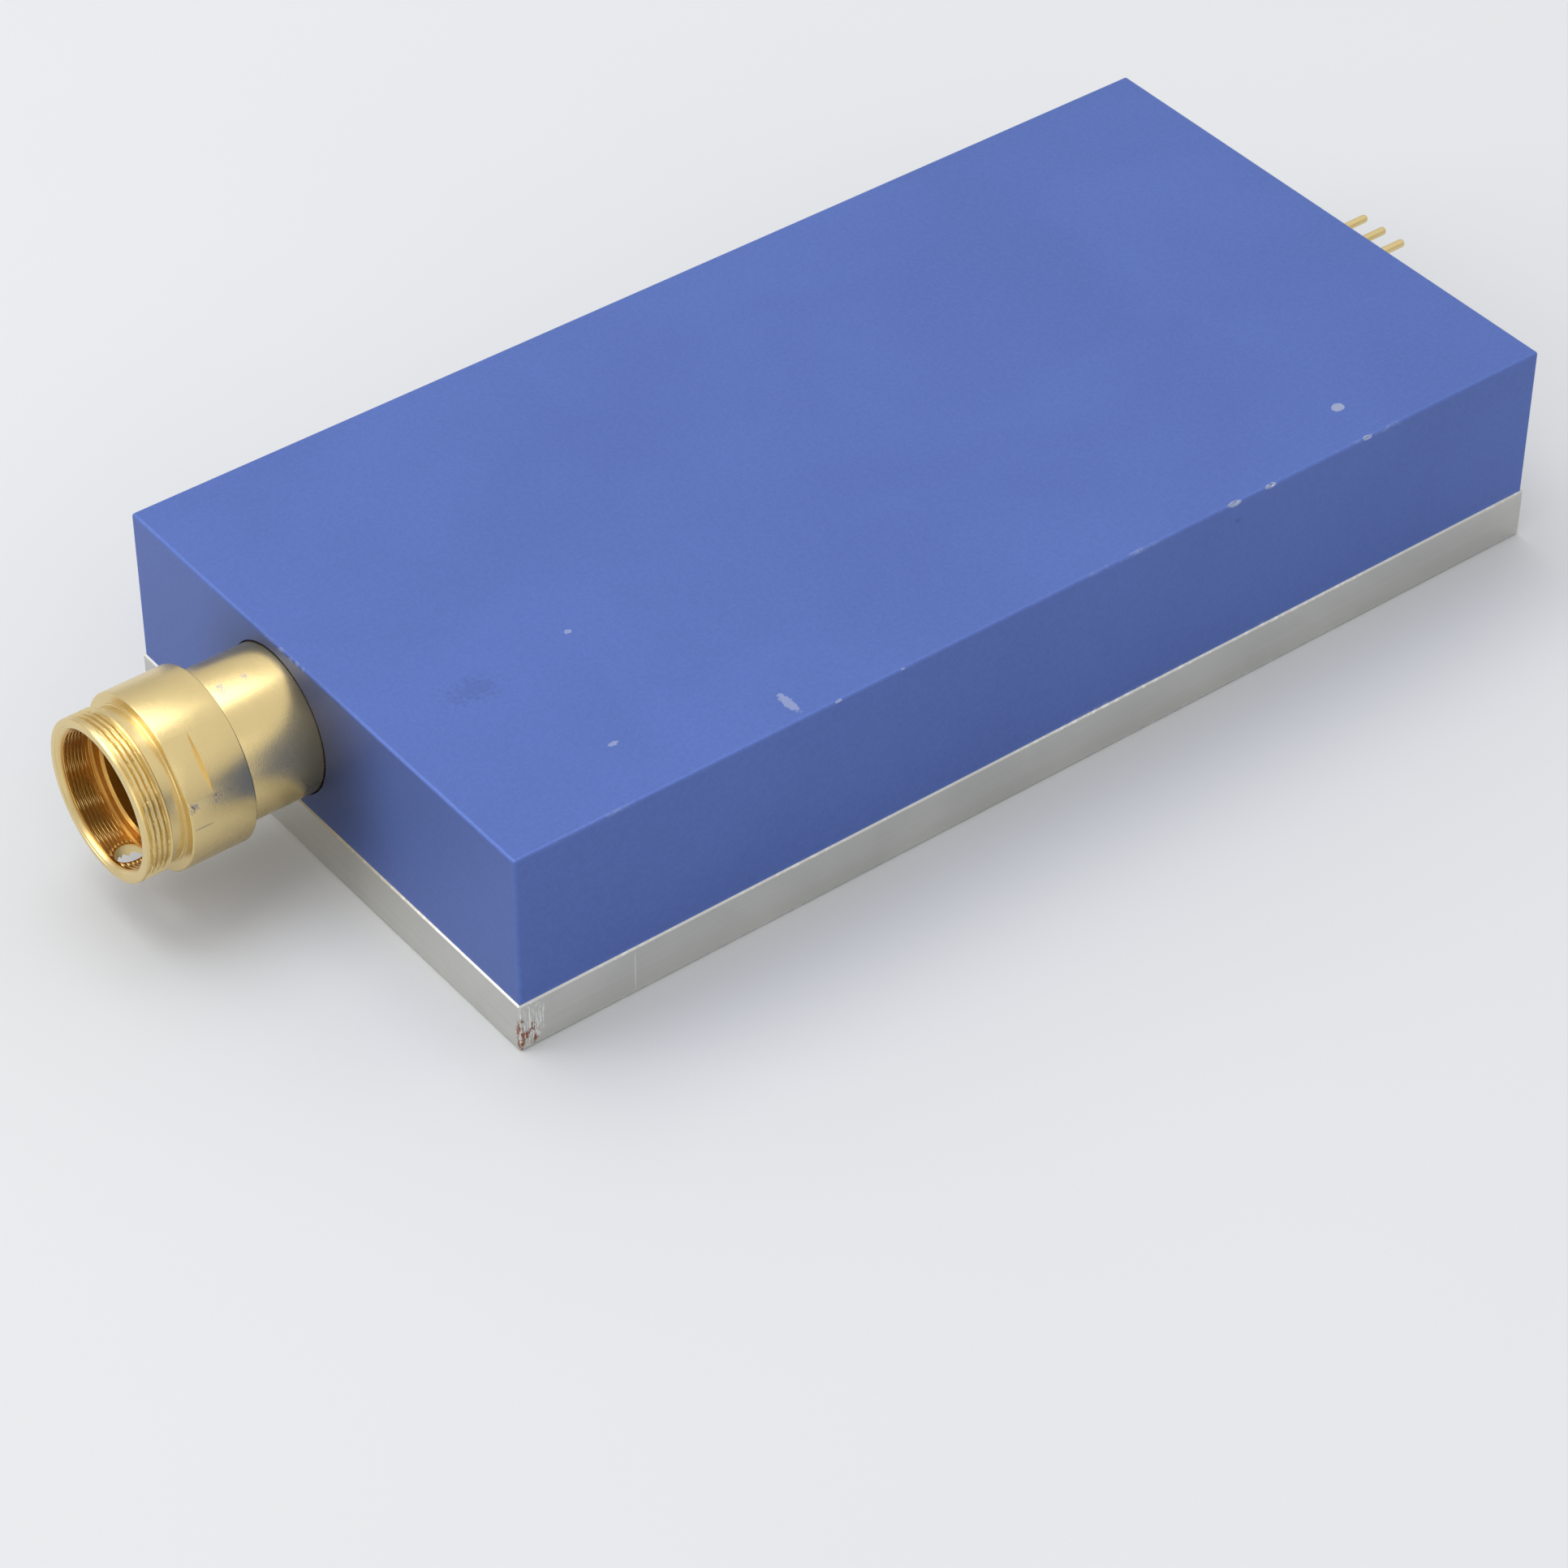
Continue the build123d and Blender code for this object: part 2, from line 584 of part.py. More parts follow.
def receptacle_locknut():
    """Slotted ring nut that pulls the barrel's shoulder on the mount block."""
    front = MOUNT_BLOCK_FRONT + MOUNT_BLOCK_LENGTH
    nut = disc_ring(front, front + LOCKNUT_LENGTH, LOCKNUT_R, TAIL_R)
    for angle in (45, 135, 225, 315):
        notch = Rot(angle, 0, 0) * Pos(0, LOCKNUT_R, 0) * Box(LOCKNUT_LENGTH, *LOCKNUT_NOTCH)
        nut -= Pos(front + LOCKNUT_LENGTH / 2, AXIS_Y, AXIS_Z) * notch
    return nut


# ---------------------------------------------------------------- laser stack
def stepped_bench():
    """Copper staircase: each chip sits half a millimetre above the one in front of it."""
    bench = None
    for index in range(EMITTERS):
        x0 = emitter_x(index) - EMITTER_PITCH / 2
        x1 = x0 + EMITTER_PITCH
        beam = beam_height(index)
        seat_top = submount_top(index) - SUBMOUNT[2]
        seat = block(x0, x1, BENCH_NEAR_Y, BENCH_LIP_Y, BASE_THICKNESS, seat_top)
        shelf = block(x0, x1, BENCH_LIP_Y, BENCH_FAR_Y, BASE_THICKNESS, beam - OPTICS_DROP)
        step = seat + shelf
        bench = step if bench is None else bench + step
    for x, y in bench_screw_points():
        bench -= tapped_hole(x, y, BENCH_TAP_DEPTH, BLOCK_SCREW_R)
    return bench


def submount_top(index):
    """The face that a chip is soldered on."""
    return beam_height(index) - CHIP[2]


def chip_submounts():
    """Six ceramic tiles, one under each chip."""
    tiles = []
    for index in range(EMITTERS):
        y = CHIP_FRONT_Y - SUBMOUNT[1] / 2
        z = submount_top(index) - SUBMOUNT[2] / 2
        tiles.append(Pos(emitter_x(index), y, z) * Box(*SUBMOUNT))
    return tiles


def laser_chips():
    """Six laser bars; the beam leaves at the top front edge."""
    chips = []
    for index in range(EMITTERS):
        y = CHIP_FRONT_Y - CHIP[1] / 2
        z = submount_top(index) + CHIP[2] / 2
        chips.append(Pos(emitter_x(index), y, z) * Box(*CHIP))
    return chips


def fast_axis_lenses():
    """Six tiny rod lenses bonded to the front of the submounts."""
    lenses = []
    for index in range(EMITTERS):
        y = CHIP_FRONT_Y + FAST_LENS[1] / 2
        lens = Pos(emitter_x(index), y, beam_height(index)) * Box(*FAST_LENS)
        front = lens.faces().sort_by(Axis.Y)[-1]
        lenses.append(fillet(front.edges().filter_by(Axis.X), FAST_LENS[2] * 0.4))
    return lenses


def slow_axis_lenses():
    """Six upright cylinder lenses on the optics shelf."""
    lenses = []
    for index in range(EMITTERS):
        foot = beam_height(index) - OPTICS_DROP
        lens = Pos(emitter_x(index), SLOW_LENS_Y, foot + SLOW_LENS[2] / 2) * Box(*SLOW_LENS)
        front = lens.faces().sort_by(Axis.Y)[-1]
        lenses.append(fillet(front.edges().filter_by(Axis.Z), SLOW_LENS[0] * 0.4))
    return lenses


def turning_mirrors():
    """Six mirrors at 45 degrees. Each clears the beam that passes over it from behind."""
    mirrors = []
    height = OPTICS_DROP + BEAM_STEP / 2
    for index in range(EMITTERS):
        foot = beam_height(index) - OPTICS_DROP
        place = Pos(emitter_x(index), AXIS_Y, foot + height / 2) * Rot(0, 0, 45)
        plate = place * Box(MIRROR[0], MIRROR[1], height)
        mirrors.append(chamfer(plate.edges(), MIRROR_BREAK))
    return mirrors


def jumper_ribbons():
    """Five gold strips that join the chips in series, one step up at each."""
    ribbons = []
    y0 = CHIP_FRONT_Y - SUBMOUNT[1] + TILE_MARGIN
    y1 = y0 + RIBBON_WIDTH
    for index in range(EMITTERS - 1):
        left = emitter_x(index) + SUBMOUNT[0] / 2 - TILE_OVERLAP
        right = emitter_x(index + 1) - SUBMOUNT[0] / 2 + TILE_OVERLAP
        middle = (left + right) / 2
        low = submount_top(index)
        high = submount_top(index + 1)
        strip = block(left, middle, y0, y1, low, low + RIBBON)
        strip += block(middle - RIBBON, middle, y0, y1, low, high + RIBBON)
        strip += block(middle - RIBBON, right, y0, y1, high, high + RIBBON)
        ribbons.append(strip)
    return ribbons


# ---------------------------------------------------------------- electrical end
def supply_bus_bar():
    """Strip from the last chip's tile to one power pin."""
    low = submount_top(EMITTERS - 1)
    level = PIN_Z + POWER_PIN_R - PIN_THINNING
    top = level + BUS_THICKNESS
    x0 = emitter_x(EMITTERS - 1) + SUBMOUNT[0] / 2 - TILE_OVERLAP
    riser = x0 + BUS_FOOT
    end_x = PIN_INNER_X + BUS_TAB
    y0 = CHIP_FRONT_Y - SUBMOUNT[1] + TILE_MARGIN
    y1 = y0 + BUS_WIDTH
    foot = block(x0, riser, y0, y1, low, low + BUS_THICKNESS)
    upstand = block(riser - BUS_THICKNESS, riser, y0, y1, low, top)
    run = block(riser - BUS_THICKNESS, end_x, y0, y1, level, top)
    tab = block(end_x - BUS_WIDTH, end_x, y0, POWER_PIN_R - POWER_PIN_Y, level, top)
    return foot + upstand + run + tab


def return_bus_bar():
    """Strip from the first chip's tile over the stack to the other power pin."""
    low = submount_top(0)
    top = BUS_HEIGHT + BUS_THICKNESS
    x0 = emitter_x(0) - SUBMOUNT[0] / 2
    x1 = x0 + BUS_WIDTH / 2
    y0 = BENCH_NEAR_Y + TILE_MARGIN
    y1 = y0 + BUS_WIDTH
    tile_y = CHIP_FRONT_Y - SUBMOUNT[1] + TILE_OVERLAP
    end_x = PIN_INNER_X + BUS_TAB
    turn_x = end_x - BUS_WIDTH
    foot = block(x0, x1, y0, tile_y, low, low + BUS_THICKNESS)
    upstand = block(x0, x1, y0, y0 + BUS_THICKNESS, low, top)
    run = block(x0, end_x, y0, y1, BUS_HEIGHT, top)
    drop_near = POWER_PIN_Y - POWER_PIN_R
    drop_far = POWER_PIN_Y + POWER_PIN_R
    across = block(turn_x, end_x, y0, drop_far, BUS_HEIGHT, top)
    level = PIN_Z + POWER_PIN_R - PIN_THINNING
    drop = block(turn_x, end_x, drop_near, drop_far, level, top)
    return foot + upstand + run + across + drop


def collared_pin(y, radius, reach):
    """A round pin, thicker where the header grips it and slimmer inside the housing."""
    collar_end = NOSE_FACE_X + PIN_COLLAR_OUT
    shank = along_x(PIN_INNER_X, HEADER_BACK_X, y, PIN_Z, radius - PIN_THINNING)
    collar = along_x(HEADER_BACK_X, collar_end, y, PIN_Z, radius + PIN_COLLAR)
    tip = along_x(collar_end, COVER_X + reach, y, PIN_Z, radius)
    tip = fillet(tip.edges().sort_by(Axis.X)[-1], radius * PIN_TIP_ROUND)
    return shank + collar + tip


def power_pins():
    """Two thick pins for the drive current."""
    return [collared_pin(side * POWER_PIN_Y, POWER_PIN_R, POWER_PIN_OUT) for side in (-1, 1)]


def signal_pins():
    """Three thin pins at a 2.54 mm pitch."""
    return [collared_pin(slot * PIN_PITCH, SIGNAL_PIN_R, SIGNAL_PIN_OUT) for slot in (-1, 0, 1)]


def pin_header():
    """Moulded block that holds the pins, with a nose through the cover's rear wall."""
    front = CAVITY_X - HEADER_GAP
    body = block(HEADER_BACK_X, front, -HEADER_HALF_WIDTH, HEADER_HALF_WIDTH,
                 BASE_THICKNESS, CAVITY_TOP - HEADER_GAP)
    nose = block(front, NOSE_FACE_X, -NOSE_HALF_WIDTH, NOSE_HALF_WIDTH,
                 PIN_Z - NOSE_HALF_HEIGHT, PIN_Z + NOSE_HALF_HEIGHT)
    body += fillet(nose.edges().filter_by(Axis.X), NOSE_HALF_HEIGHT - OBROUND_FLAT)
    for slot in (-1, 0, 1):
        body -= pin_hole(slot * PIN_PITCH, SIGNAL_PIN_R)
    for side in (-1, 1):
        body -= pin_hole(side * POWER_PIN_Y, POWER_PIN_R)
    for x, y in header_screw_points():
        body -= tapped_hole(x, y, BLOCK_TAP_DEPTH, BLOCK_SCREW_R)
    return body


def pin_hole(y, radius):
    """The hole in the header that a pin's thicker length fills."""
    return along_x(HEADER_BACK_X, NOSE_FACE_X, y, PIN_Z, radius + PIN_COLLAR)


def sensor_board():
    """Ceramic board on the inner ends of the signal pins."""
    thickness, width, height = BOARD
    board = Pos(BOARD_X + thickness / 2, 0, PIN_Z - BOARD_DROP) * Box(thickness, width, height)
    for slot in (-1, 0, 1):
        board -= along_x(BOARD_X, BOARD_X + thickness, slot * PIN_PITCH, PIN_Z, SIGNAL_PIN_R)
    return board


def on_board(size, place, back_x):
    """A box whose back face is at back_x, placed across the board and below the pins."""
    across, drop = place
    return Pos(back_x - size[0] / 2, across, PIN_Z + drop) * Box(*size)


def thermistor():
    """Small block on the sensor board that reads the housing's temperature."""
    body = on_board(THERMISTOR, THERMISTOR_AT, BOARD_X)
    return fillet(body.edges().filter_by(Axis.Y), THERMISTOR_ROUND)


def monitor_photodiode():
    """Square detector on the sensor board that catches stray light."""
    package = on_board(PHOTODIODE, PHOTODIODE_AT, BOARD_X)
    recess_back = BOARD_X - PHOTODIODE[0] + PHOTODIODE_RECESS[0]
    return package - on_board(PHOTODIODE_RECESS, PHOTODIODE_AT, recess_back)


# ---------------------------------------------------------------- writing the parts
def build_nodes():
    """Every piece by its node name. A list is a group of equal, separate solids."""
    return {
        "base_plate": base_plate(),
        "cover": cover(),
        "cover_gasket": cover_gasket(),
        "cover_screws": screw_set(cover_screw_points(), COVER_SCREW_R, COVER_ENGAGEMENT),
        "locating_dowels": locating_dowels(),
        "receptacle_barrel": receptacle_barrel(),
        "barrel_seal_ring": barrel_seal_ring(),
        "receptacle_mount": receptacle_mount(),
        "receptacle_mount_screws": screw_set(
            mount_block_screw_points(), BLOCK_SCREW_R, BLOCK_ENGAGEMENT),
        "receptacle_locknut": receptacle_locknut(),
        "coupling_sleeve": coupling_sleeve(),
        "sleeve_seal_ring": sleeve_seal_ring(),
        "protective_window": protective_window(),
        "window_retaining_ring": window_retaining_ring(),
        "focusing_lens": focusing_lens(),
        "lens_retaining_ring": lens_retaining_ring(),
        "stepped_bench": stepped_bench(),
        "bench_screws": screw_set(bench_screw_points(), BLOCK_SCREW_R, BENCH_ENGAGEMENT),
        "chip_submounts": chip_submounts(),
        "laser_chips": laser_chips(),
        "fast_axis_lenses": fast_axis_lenses(),
        "slow_axis_lenses": slow_axis_lenses(),
        "turning_mirrors": turning_mirrors(),
        "jumper_ribbons": jumper_ribbons(),
        "supply_bus_bar": supply_bus_bar(),
        "return_bus_bar": return_bus_bar(),
        "pin_header": pin_header(),
        "header_screws": screw_set(header_screw_points(), BLOCK_SCREW_R, BLOCK_ENGAGEMENT),
        "signal_pins": signal_pins(),
        "power_pins": power_pins(),
        "sensor_board": sensor_board(),
        "thermistor": thermistor(),
        "monitor_photodiode": monitor_photodiode(),
    }


def write_parts():
    """Writes one STEP file for each node."""
    os.makedirs("parts", exist_ok=True)
    for name, shape in build_nodes().items():
        solids = shape if isinstance(shape, list) else [shape]
        group = Compound(children=[solid for piece in solids for solid in piece.solids()])
        group.label = name
        export_step(group, f"parts/{name}.step")


write_parts()
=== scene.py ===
"""Looks of a fibre-coupled laser module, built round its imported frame.

Lengths are metres in the frame's own axes: +X runs from the optical connector to the
pins, +Z points up through the cover, and the underside of the base plate is z = 0.
"""

import logging
import math
from dataclasses import dataclass, field
from enum import Enum

import bpy
import numpy as np
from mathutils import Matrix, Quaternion, Vector, noise


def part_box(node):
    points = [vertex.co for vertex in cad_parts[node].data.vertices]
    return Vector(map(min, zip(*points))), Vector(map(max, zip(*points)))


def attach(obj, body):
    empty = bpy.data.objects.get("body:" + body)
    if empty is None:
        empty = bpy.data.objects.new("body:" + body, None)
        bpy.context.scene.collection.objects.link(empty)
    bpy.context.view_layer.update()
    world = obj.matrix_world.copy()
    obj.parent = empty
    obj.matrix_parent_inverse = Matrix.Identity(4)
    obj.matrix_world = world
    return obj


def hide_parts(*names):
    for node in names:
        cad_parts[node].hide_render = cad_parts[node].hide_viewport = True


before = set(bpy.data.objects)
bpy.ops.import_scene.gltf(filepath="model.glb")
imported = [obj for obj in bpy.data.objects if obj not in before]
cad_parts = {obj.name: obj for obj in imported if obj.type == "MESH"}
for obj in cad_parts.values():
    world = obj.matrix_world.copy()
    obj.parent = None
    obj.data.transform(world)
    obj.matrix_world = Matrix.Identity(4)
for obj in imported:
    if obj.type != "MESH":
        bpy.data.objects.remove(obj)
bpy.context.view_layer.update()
LOG = logging.getLogger("laser_module")
MM = 0.001
WELD = 1e-6
FACING = 0.99
UP = Vector((0, 0, 1))
DOWN = Vector((0, 0, -1))
ALONG = Vector((1, 0, 0))

Colour = tuple[float, float, float]
Place = tuple[float, float, float]
Outline = list[tuple[float, float]]
Value = bpy.types.NodeSocket | float


def metres(*lengths: float) -> Place:
    """Three lengths in millimetres, as metres."""
    return tuple(length * MM for length in lengths)


def shade(colour: Colour, factor: float, lift: float = 0.0) -> Colour:
    """A colour made lighter or darker, with no part above 1."""
    return tuple(min(1.0, part * factor + lift) for part in colour)


# ------------------------------------------------------------------ mesh tools
class Wall(Enum):
    """Which wall of a ring has a thread, as the sign of the way that it is cut."""

    OUTER = -1.0
    INNER = 1.0


class Hand:
    """Operator calls that more than one piece uses."""

    @staticmethod
    def clear() -> None:
        """Leaves nothing selected."""
        if bpy.context.object and bpy.context.object.mode != "OBJECT":
            bpy.ops.object.mode_set(mode="OBJECT")
        bpy.ops.object.select_all(action="DESELECT")

    @staticmethod
    def hold(piece: bpy.types.Object) -> None:
        """Selects one piece alone and makes it active.

        Args:
            piece: the object that the next operators act on.
        """
        Hand.clear()
        piece.select_set(True)
        bpy.context.view_layer.objects.active = piece

    @staticmethod
    def block(name: str, low: Vector, high: Vector) -> bpy.types.Object:
        """Adds a box between two corners.

        Args:
            name: the object's name.
            low: its lowest corner.
            high: its highest corner.

        Returns:
            The box, with its place in its mesh.
        """
        Hand.clear()
        bpy.ops.mesh.primitive_cube_add(size=1.0, location=(low + high) / 2)
        box = bpy.context.object
        box.name = name
        box.scale = high - low
        Hand.settle(box)
        return box

    @staticmethod
    def rod(name: str, centre: Vector, radius: float, length: float,
            turn: Quaternion, sides: int = 96) -> bpy.types.Object:
        """Adds a cylinder whose axis is its own Z turned by a rotation.

        Args:
            name: the object's name.
            centre: its middle.
            radius: its radius.
            length: its length.
            turn: the rotation from Z to its axis.
            sides: how many sides it has.

        Returns:
            The cylinder, with its place in its mesh.
        """
        Hand.clear()
        bpy.ops.mesh.primitive_cylinder_add(vertices=sides, radius=radius, depth=length,
                                            location=centre, rotation=turn.to_euler())
        rod = bpy.context.object
        rod.name = name
        Hand.settle(rod)
        return rod

    @staticmethod
    def settle(piece: bpy.types.Object) -> None:
        """Moves an object's place, turn and scale into its mesh."""
        Hand.hold(piece)
        bpy.ops.object.transform_apply(location=True, rotation=True, scale=True)

    @staticmethod
    def select_faces(piece: bpy.types.Object, aim: Vector) -> None:
        """Enters edit mode with only the faces that look one way selected.

        Args:
            piece: the object.
            aim: the direction in which they look, as a unit vector.
        """
        Hand.hold(piece)
        mesh = piece.data
        for part in (*mesh.edges, *mesh.vertices):
            part.select = False
        for face in mesh.polygons:
            face.select = face.normal.dot(aim) > FACING
            if face.select:
                for index in face.vertices:
                    mesh.vertices[index].select = True
        bpy.ops.object.mode_set(mode="EDIT")
        bpy.ops.mesh.select_mode(type="FACE")

    @staticmethod
    def apply(piece: bpy.types.Object, kind: str, **settings: object) -> None:
        """Adds one modifier and applies it.

        Args:
            piece: the object.
            kind: the modifier's type.
            settings: its properties.
        """
        Hand.hold(piece)
        bpy.ops.object.modifier_add(type=kind)
        modifier = piece.modifiers[-1]
        for name, value in settings.items():
            setattr(modifier, name, value)
        bpy.ops.object.modifier_apply(modifier=modifier.name)

    @staticmethod
    def cut(piece: bpy.types.Object, cutter: bpy.types.Object) -> None:
        """Takes a cutter's shape away from a piece and removes the cutter.

        Args:
            piece: the object that loses material.
            cutter: the shape that is taken away.
        """
        Hand.apply(piece, "BOOLEAN", operation="DIFFERENCE", solver="EXACT", object=cutter)
        bpy.data.objects.remove(cutter, do_unlink=True)

    @staticmethod
    def smooth(piece: bpy.types.Object, degrees: float = 32.0) -> None:
        """Shades a piece smooth, with edges sharper than an angle kept crisp."""
        Hand.hold(piece)
        bpy.ops.object.shade_smooth_by_angle(angle=math.radians(degrees))


def rounded(corners: list[tuple[float, float, float]], arc_steps: int = 4) -> Outline:
    """Rounds the corners of a closed outline with tangent arcs.

    Args:
        corners: x, radius and rounding of each corner, in millimetres.
        arc_steps: how many chords an arc has.

    Returns:
        The outline's points in millimetres, with each rounded corner as an arc.
    """
    points: Outline = []
    count = len(corners)
    for index, (x, r, rounding) in enumerate(corners):
        here = Vector((x, r))
        before = Vector(corners[index - 1][:2]) - here
        after = Vector(corners[(index + 1) % count][:2]) - here
        if rounding <= 0:
            points.append((x, r))
            continue
        half_angle = before.angle(after) / 2
        reach = rounding / math.tan(half_angle)
        start = here + before.normalized() * reach
        end = here + after.normalized() * reach
        bisector = (before.normalized() + after.normalized()).normalized()
        centre = here + bisector * (rounding / math.sin(half_angle))
        first = (start - centre).normalized()
        last = (end - centre).normalized()
        for step in range(arc_steps + 1):
            share = step / arc_steps
            spoke = first.slerp(last, share)
            point = centre + spoke * rounding
            points.append((point.x, point.y))
    return points


@dataclass
class Lathe:
    """Turns outlines of (distance in front of the cover, radius) about the optical axis."""

    face_x: float
    axis_y: float
    axis_z: float
    steps: int = 240

    def point(self, out_mm: float, radius_mm: float, degrees: float = 90.0) -> Vector:
        """A place round the axis.

        Args:
            out_mm: distance in front of the cover, in millimetres.
            radius_mm: distance from the axis, in millimetres.
            degrees: direction from +Y towards +Z.

        Returns:
            The point in metres.
        """
        angle = math.radians(degrees)
        y = self.axis_y + radius_mm * MM * math.cos(angle)
        z = self.axis_z + radius_mm * MM * math.sin(angle)
        return Vector((self.face_x - out_mm * MM, y, z))

    def turn(self, name: str, outline: Outline) -> bpy.types.Object:
        """Spins a closed outline into a ring-shaped solid.

        Args:
            name: the object's name.
            outline: out distance and radius of each point, in millimetres.

        Returns:
            The turned object.
        """
        Hand.clear()
        start = self.point(*outline[0])
        bpy.ops.mesh.primitive_plane_add(size=MM, location=start)
        piece = bpy.context.object
        piece.name = name
        bpy.ops.object.mode_set(mode="EDIT")
        bpy.ops.mesh.select_mode(type="VERT")
        bpy.ops.mesh.merge(type="CENTER")
        before = start
        for out_mm, radius_mm in [*outline[1:], outline[0]]:
            here = self.point(out_mm, radius_mm)
            bpy.ops.mesh.extrude_region_move(TRANSFORM_OT_translate={"value": here - before})
            before = here
        bpy.ops.mesh.select_all(action="SELECT")
        bpy.ops.mesh.remove_doubles(threshold=WELD)
        centre = (self.face_x, self.axis_y, self.axis_z)
        bpy.ops.mesh.spin(steps=self.steps, angle=math.tau, center=centre, axis=(1, 0, 0),
                          use_auto_merge=True)
        bpy.ops.mesh.select_all(action="SELECT")
        bpy.ops.mesh.remove_doubles(threshold=WELD)
        bpy.ops.mesh.normals_make_consistent(inside=False)
        bpy.ops.object.mode_set(mode="OBJECT")
        Hand.settle(piece)
        return piece


@dataclass
class HelicalThread:
    """A V thread cut as one true helix in rows of a turned wall, in millimetres.

    The crest's flat is the land's share of a turn, and the root is the flatter the more
    root_share passes 1. Nicks are small knocks in the crest, and a thread leaves the wall
    plain within the reach of plain_spot.
    """

    start: float
    end: float
    crest: float
    depth: float
    pitch: float
    land: float = 0.22
    root_share: float = 1.35
    wall: Wall = Wall.OUTER
    nicks: float = 0.0
    lead: float = 0.0
    rows_per_turn: int = 12
    plain_spot: tuple[Vector, float] | None = None
    slack: float = 0.01
    run_out: float = 0.5
    spot_fade: float = 0.3
    nick_size: float = 0.16
    nick_rarity: float = 0.42
    nick_slope: float = 4.0

    def rows(self) -> Outline:
        """Outline points along the wall, close enough together for the thread.

        Returns:
            Points from start to end, in millimetres.
        """
        count = max(2, round(abs(self.end - self.start) / self.pitch * self.rows_per_turn))
        step = (self.end - self.start) / count
        return [(self.start + index * step, self.crest) for index in range(count + 1)]

    def lay_rows(self, outline: Outline) -> None:
        """Puts the thread's rows between its two ends in an outline.

        Args:
            outline: the points that a piece is turned from, where both ends are neighbours.
        """
        first = outline.index((self.start, self.crest))
        last = outline.index((self.end, self.crest))
        rows = self.rows()[1:-1]
        at = max(first, last)
        outline[at:at] = rows if first < last else rows[::-1]

    def cut(self, piece: bpy.types.Object, lathe: Lathe) -> None:
        """Moves the wall's points towards the thread's root.

        Args:
            piece: the turned object.
            lathe: the lathe that it was turned on.
        """
        count = len(piece.data.vertices)
        points = np.zeros(count * 3)
        piece.data.vertices.foreach_get("co", points)
        points = points.reshape(-1, 3)
        out = (lathe.face_x - points[:, 0]) / MM
        y = points[:, 1] - lathe.axis_y
        z = points[:, 2] - lathe.axis_z
        radius = np.hypot(y, z) / MM
        turn = np.arctan2(z, y) / math.tau
        low, high = sorted((self.start, self.end))
        on_wall = (out > low - self.slack) & (out < high + self.slack)
        on_wall &= abs(radius - self.crest) < 2 * self.slack
        phase = ((out - low - self.lead) / self.pitch + turn) % 1.0
        valley = 1.0 - np.clip(abs(2.0 * phase - 1.0) / (1.0 - self.land), 0.0, 1.0)
        cut = np.minimum(valley * self.root_share, 1.0) * self.depth
        run_out = self.run_out * self.pitch
        fade = np.clip((out - low) / run_out, 0, 1) * np.clip((high - out) / run_out, 0, 1)
        if self.plain_spot:
            centre, reach = self.plain_spot
            apart = np.linalg.norm(points - np.array(centre), axis=1)
            fade *= np.clip((apart - reach) / (self.spot_fade * MM), 0, 1)
        if self.nicks:
            grid = self.nick_size * MM
            spots = np.array([noise.noise(Vector(point) / grid) for point in points[on_wall]])
            knock = np.clip(self.nick_slope * (spots - self.nick_rarity), 0, 1)
            near_crest = 1.0 - cut[on_wall] / self.depth
            cut[on_wall] += self.nicks * near_crest * knock
        change = cut * fade * self.wall.value
        factor = np.where(on_wall, (radius + change) / np.maximum(radius, WELD), 1.0)
        points[:, 1] = lathe.axis_y + y * factor
        points[:, 2] = lathe.axis_z + z * factor
        piece.data.vertices.foreach_set("co", points.ravel())
        piece.data.update()


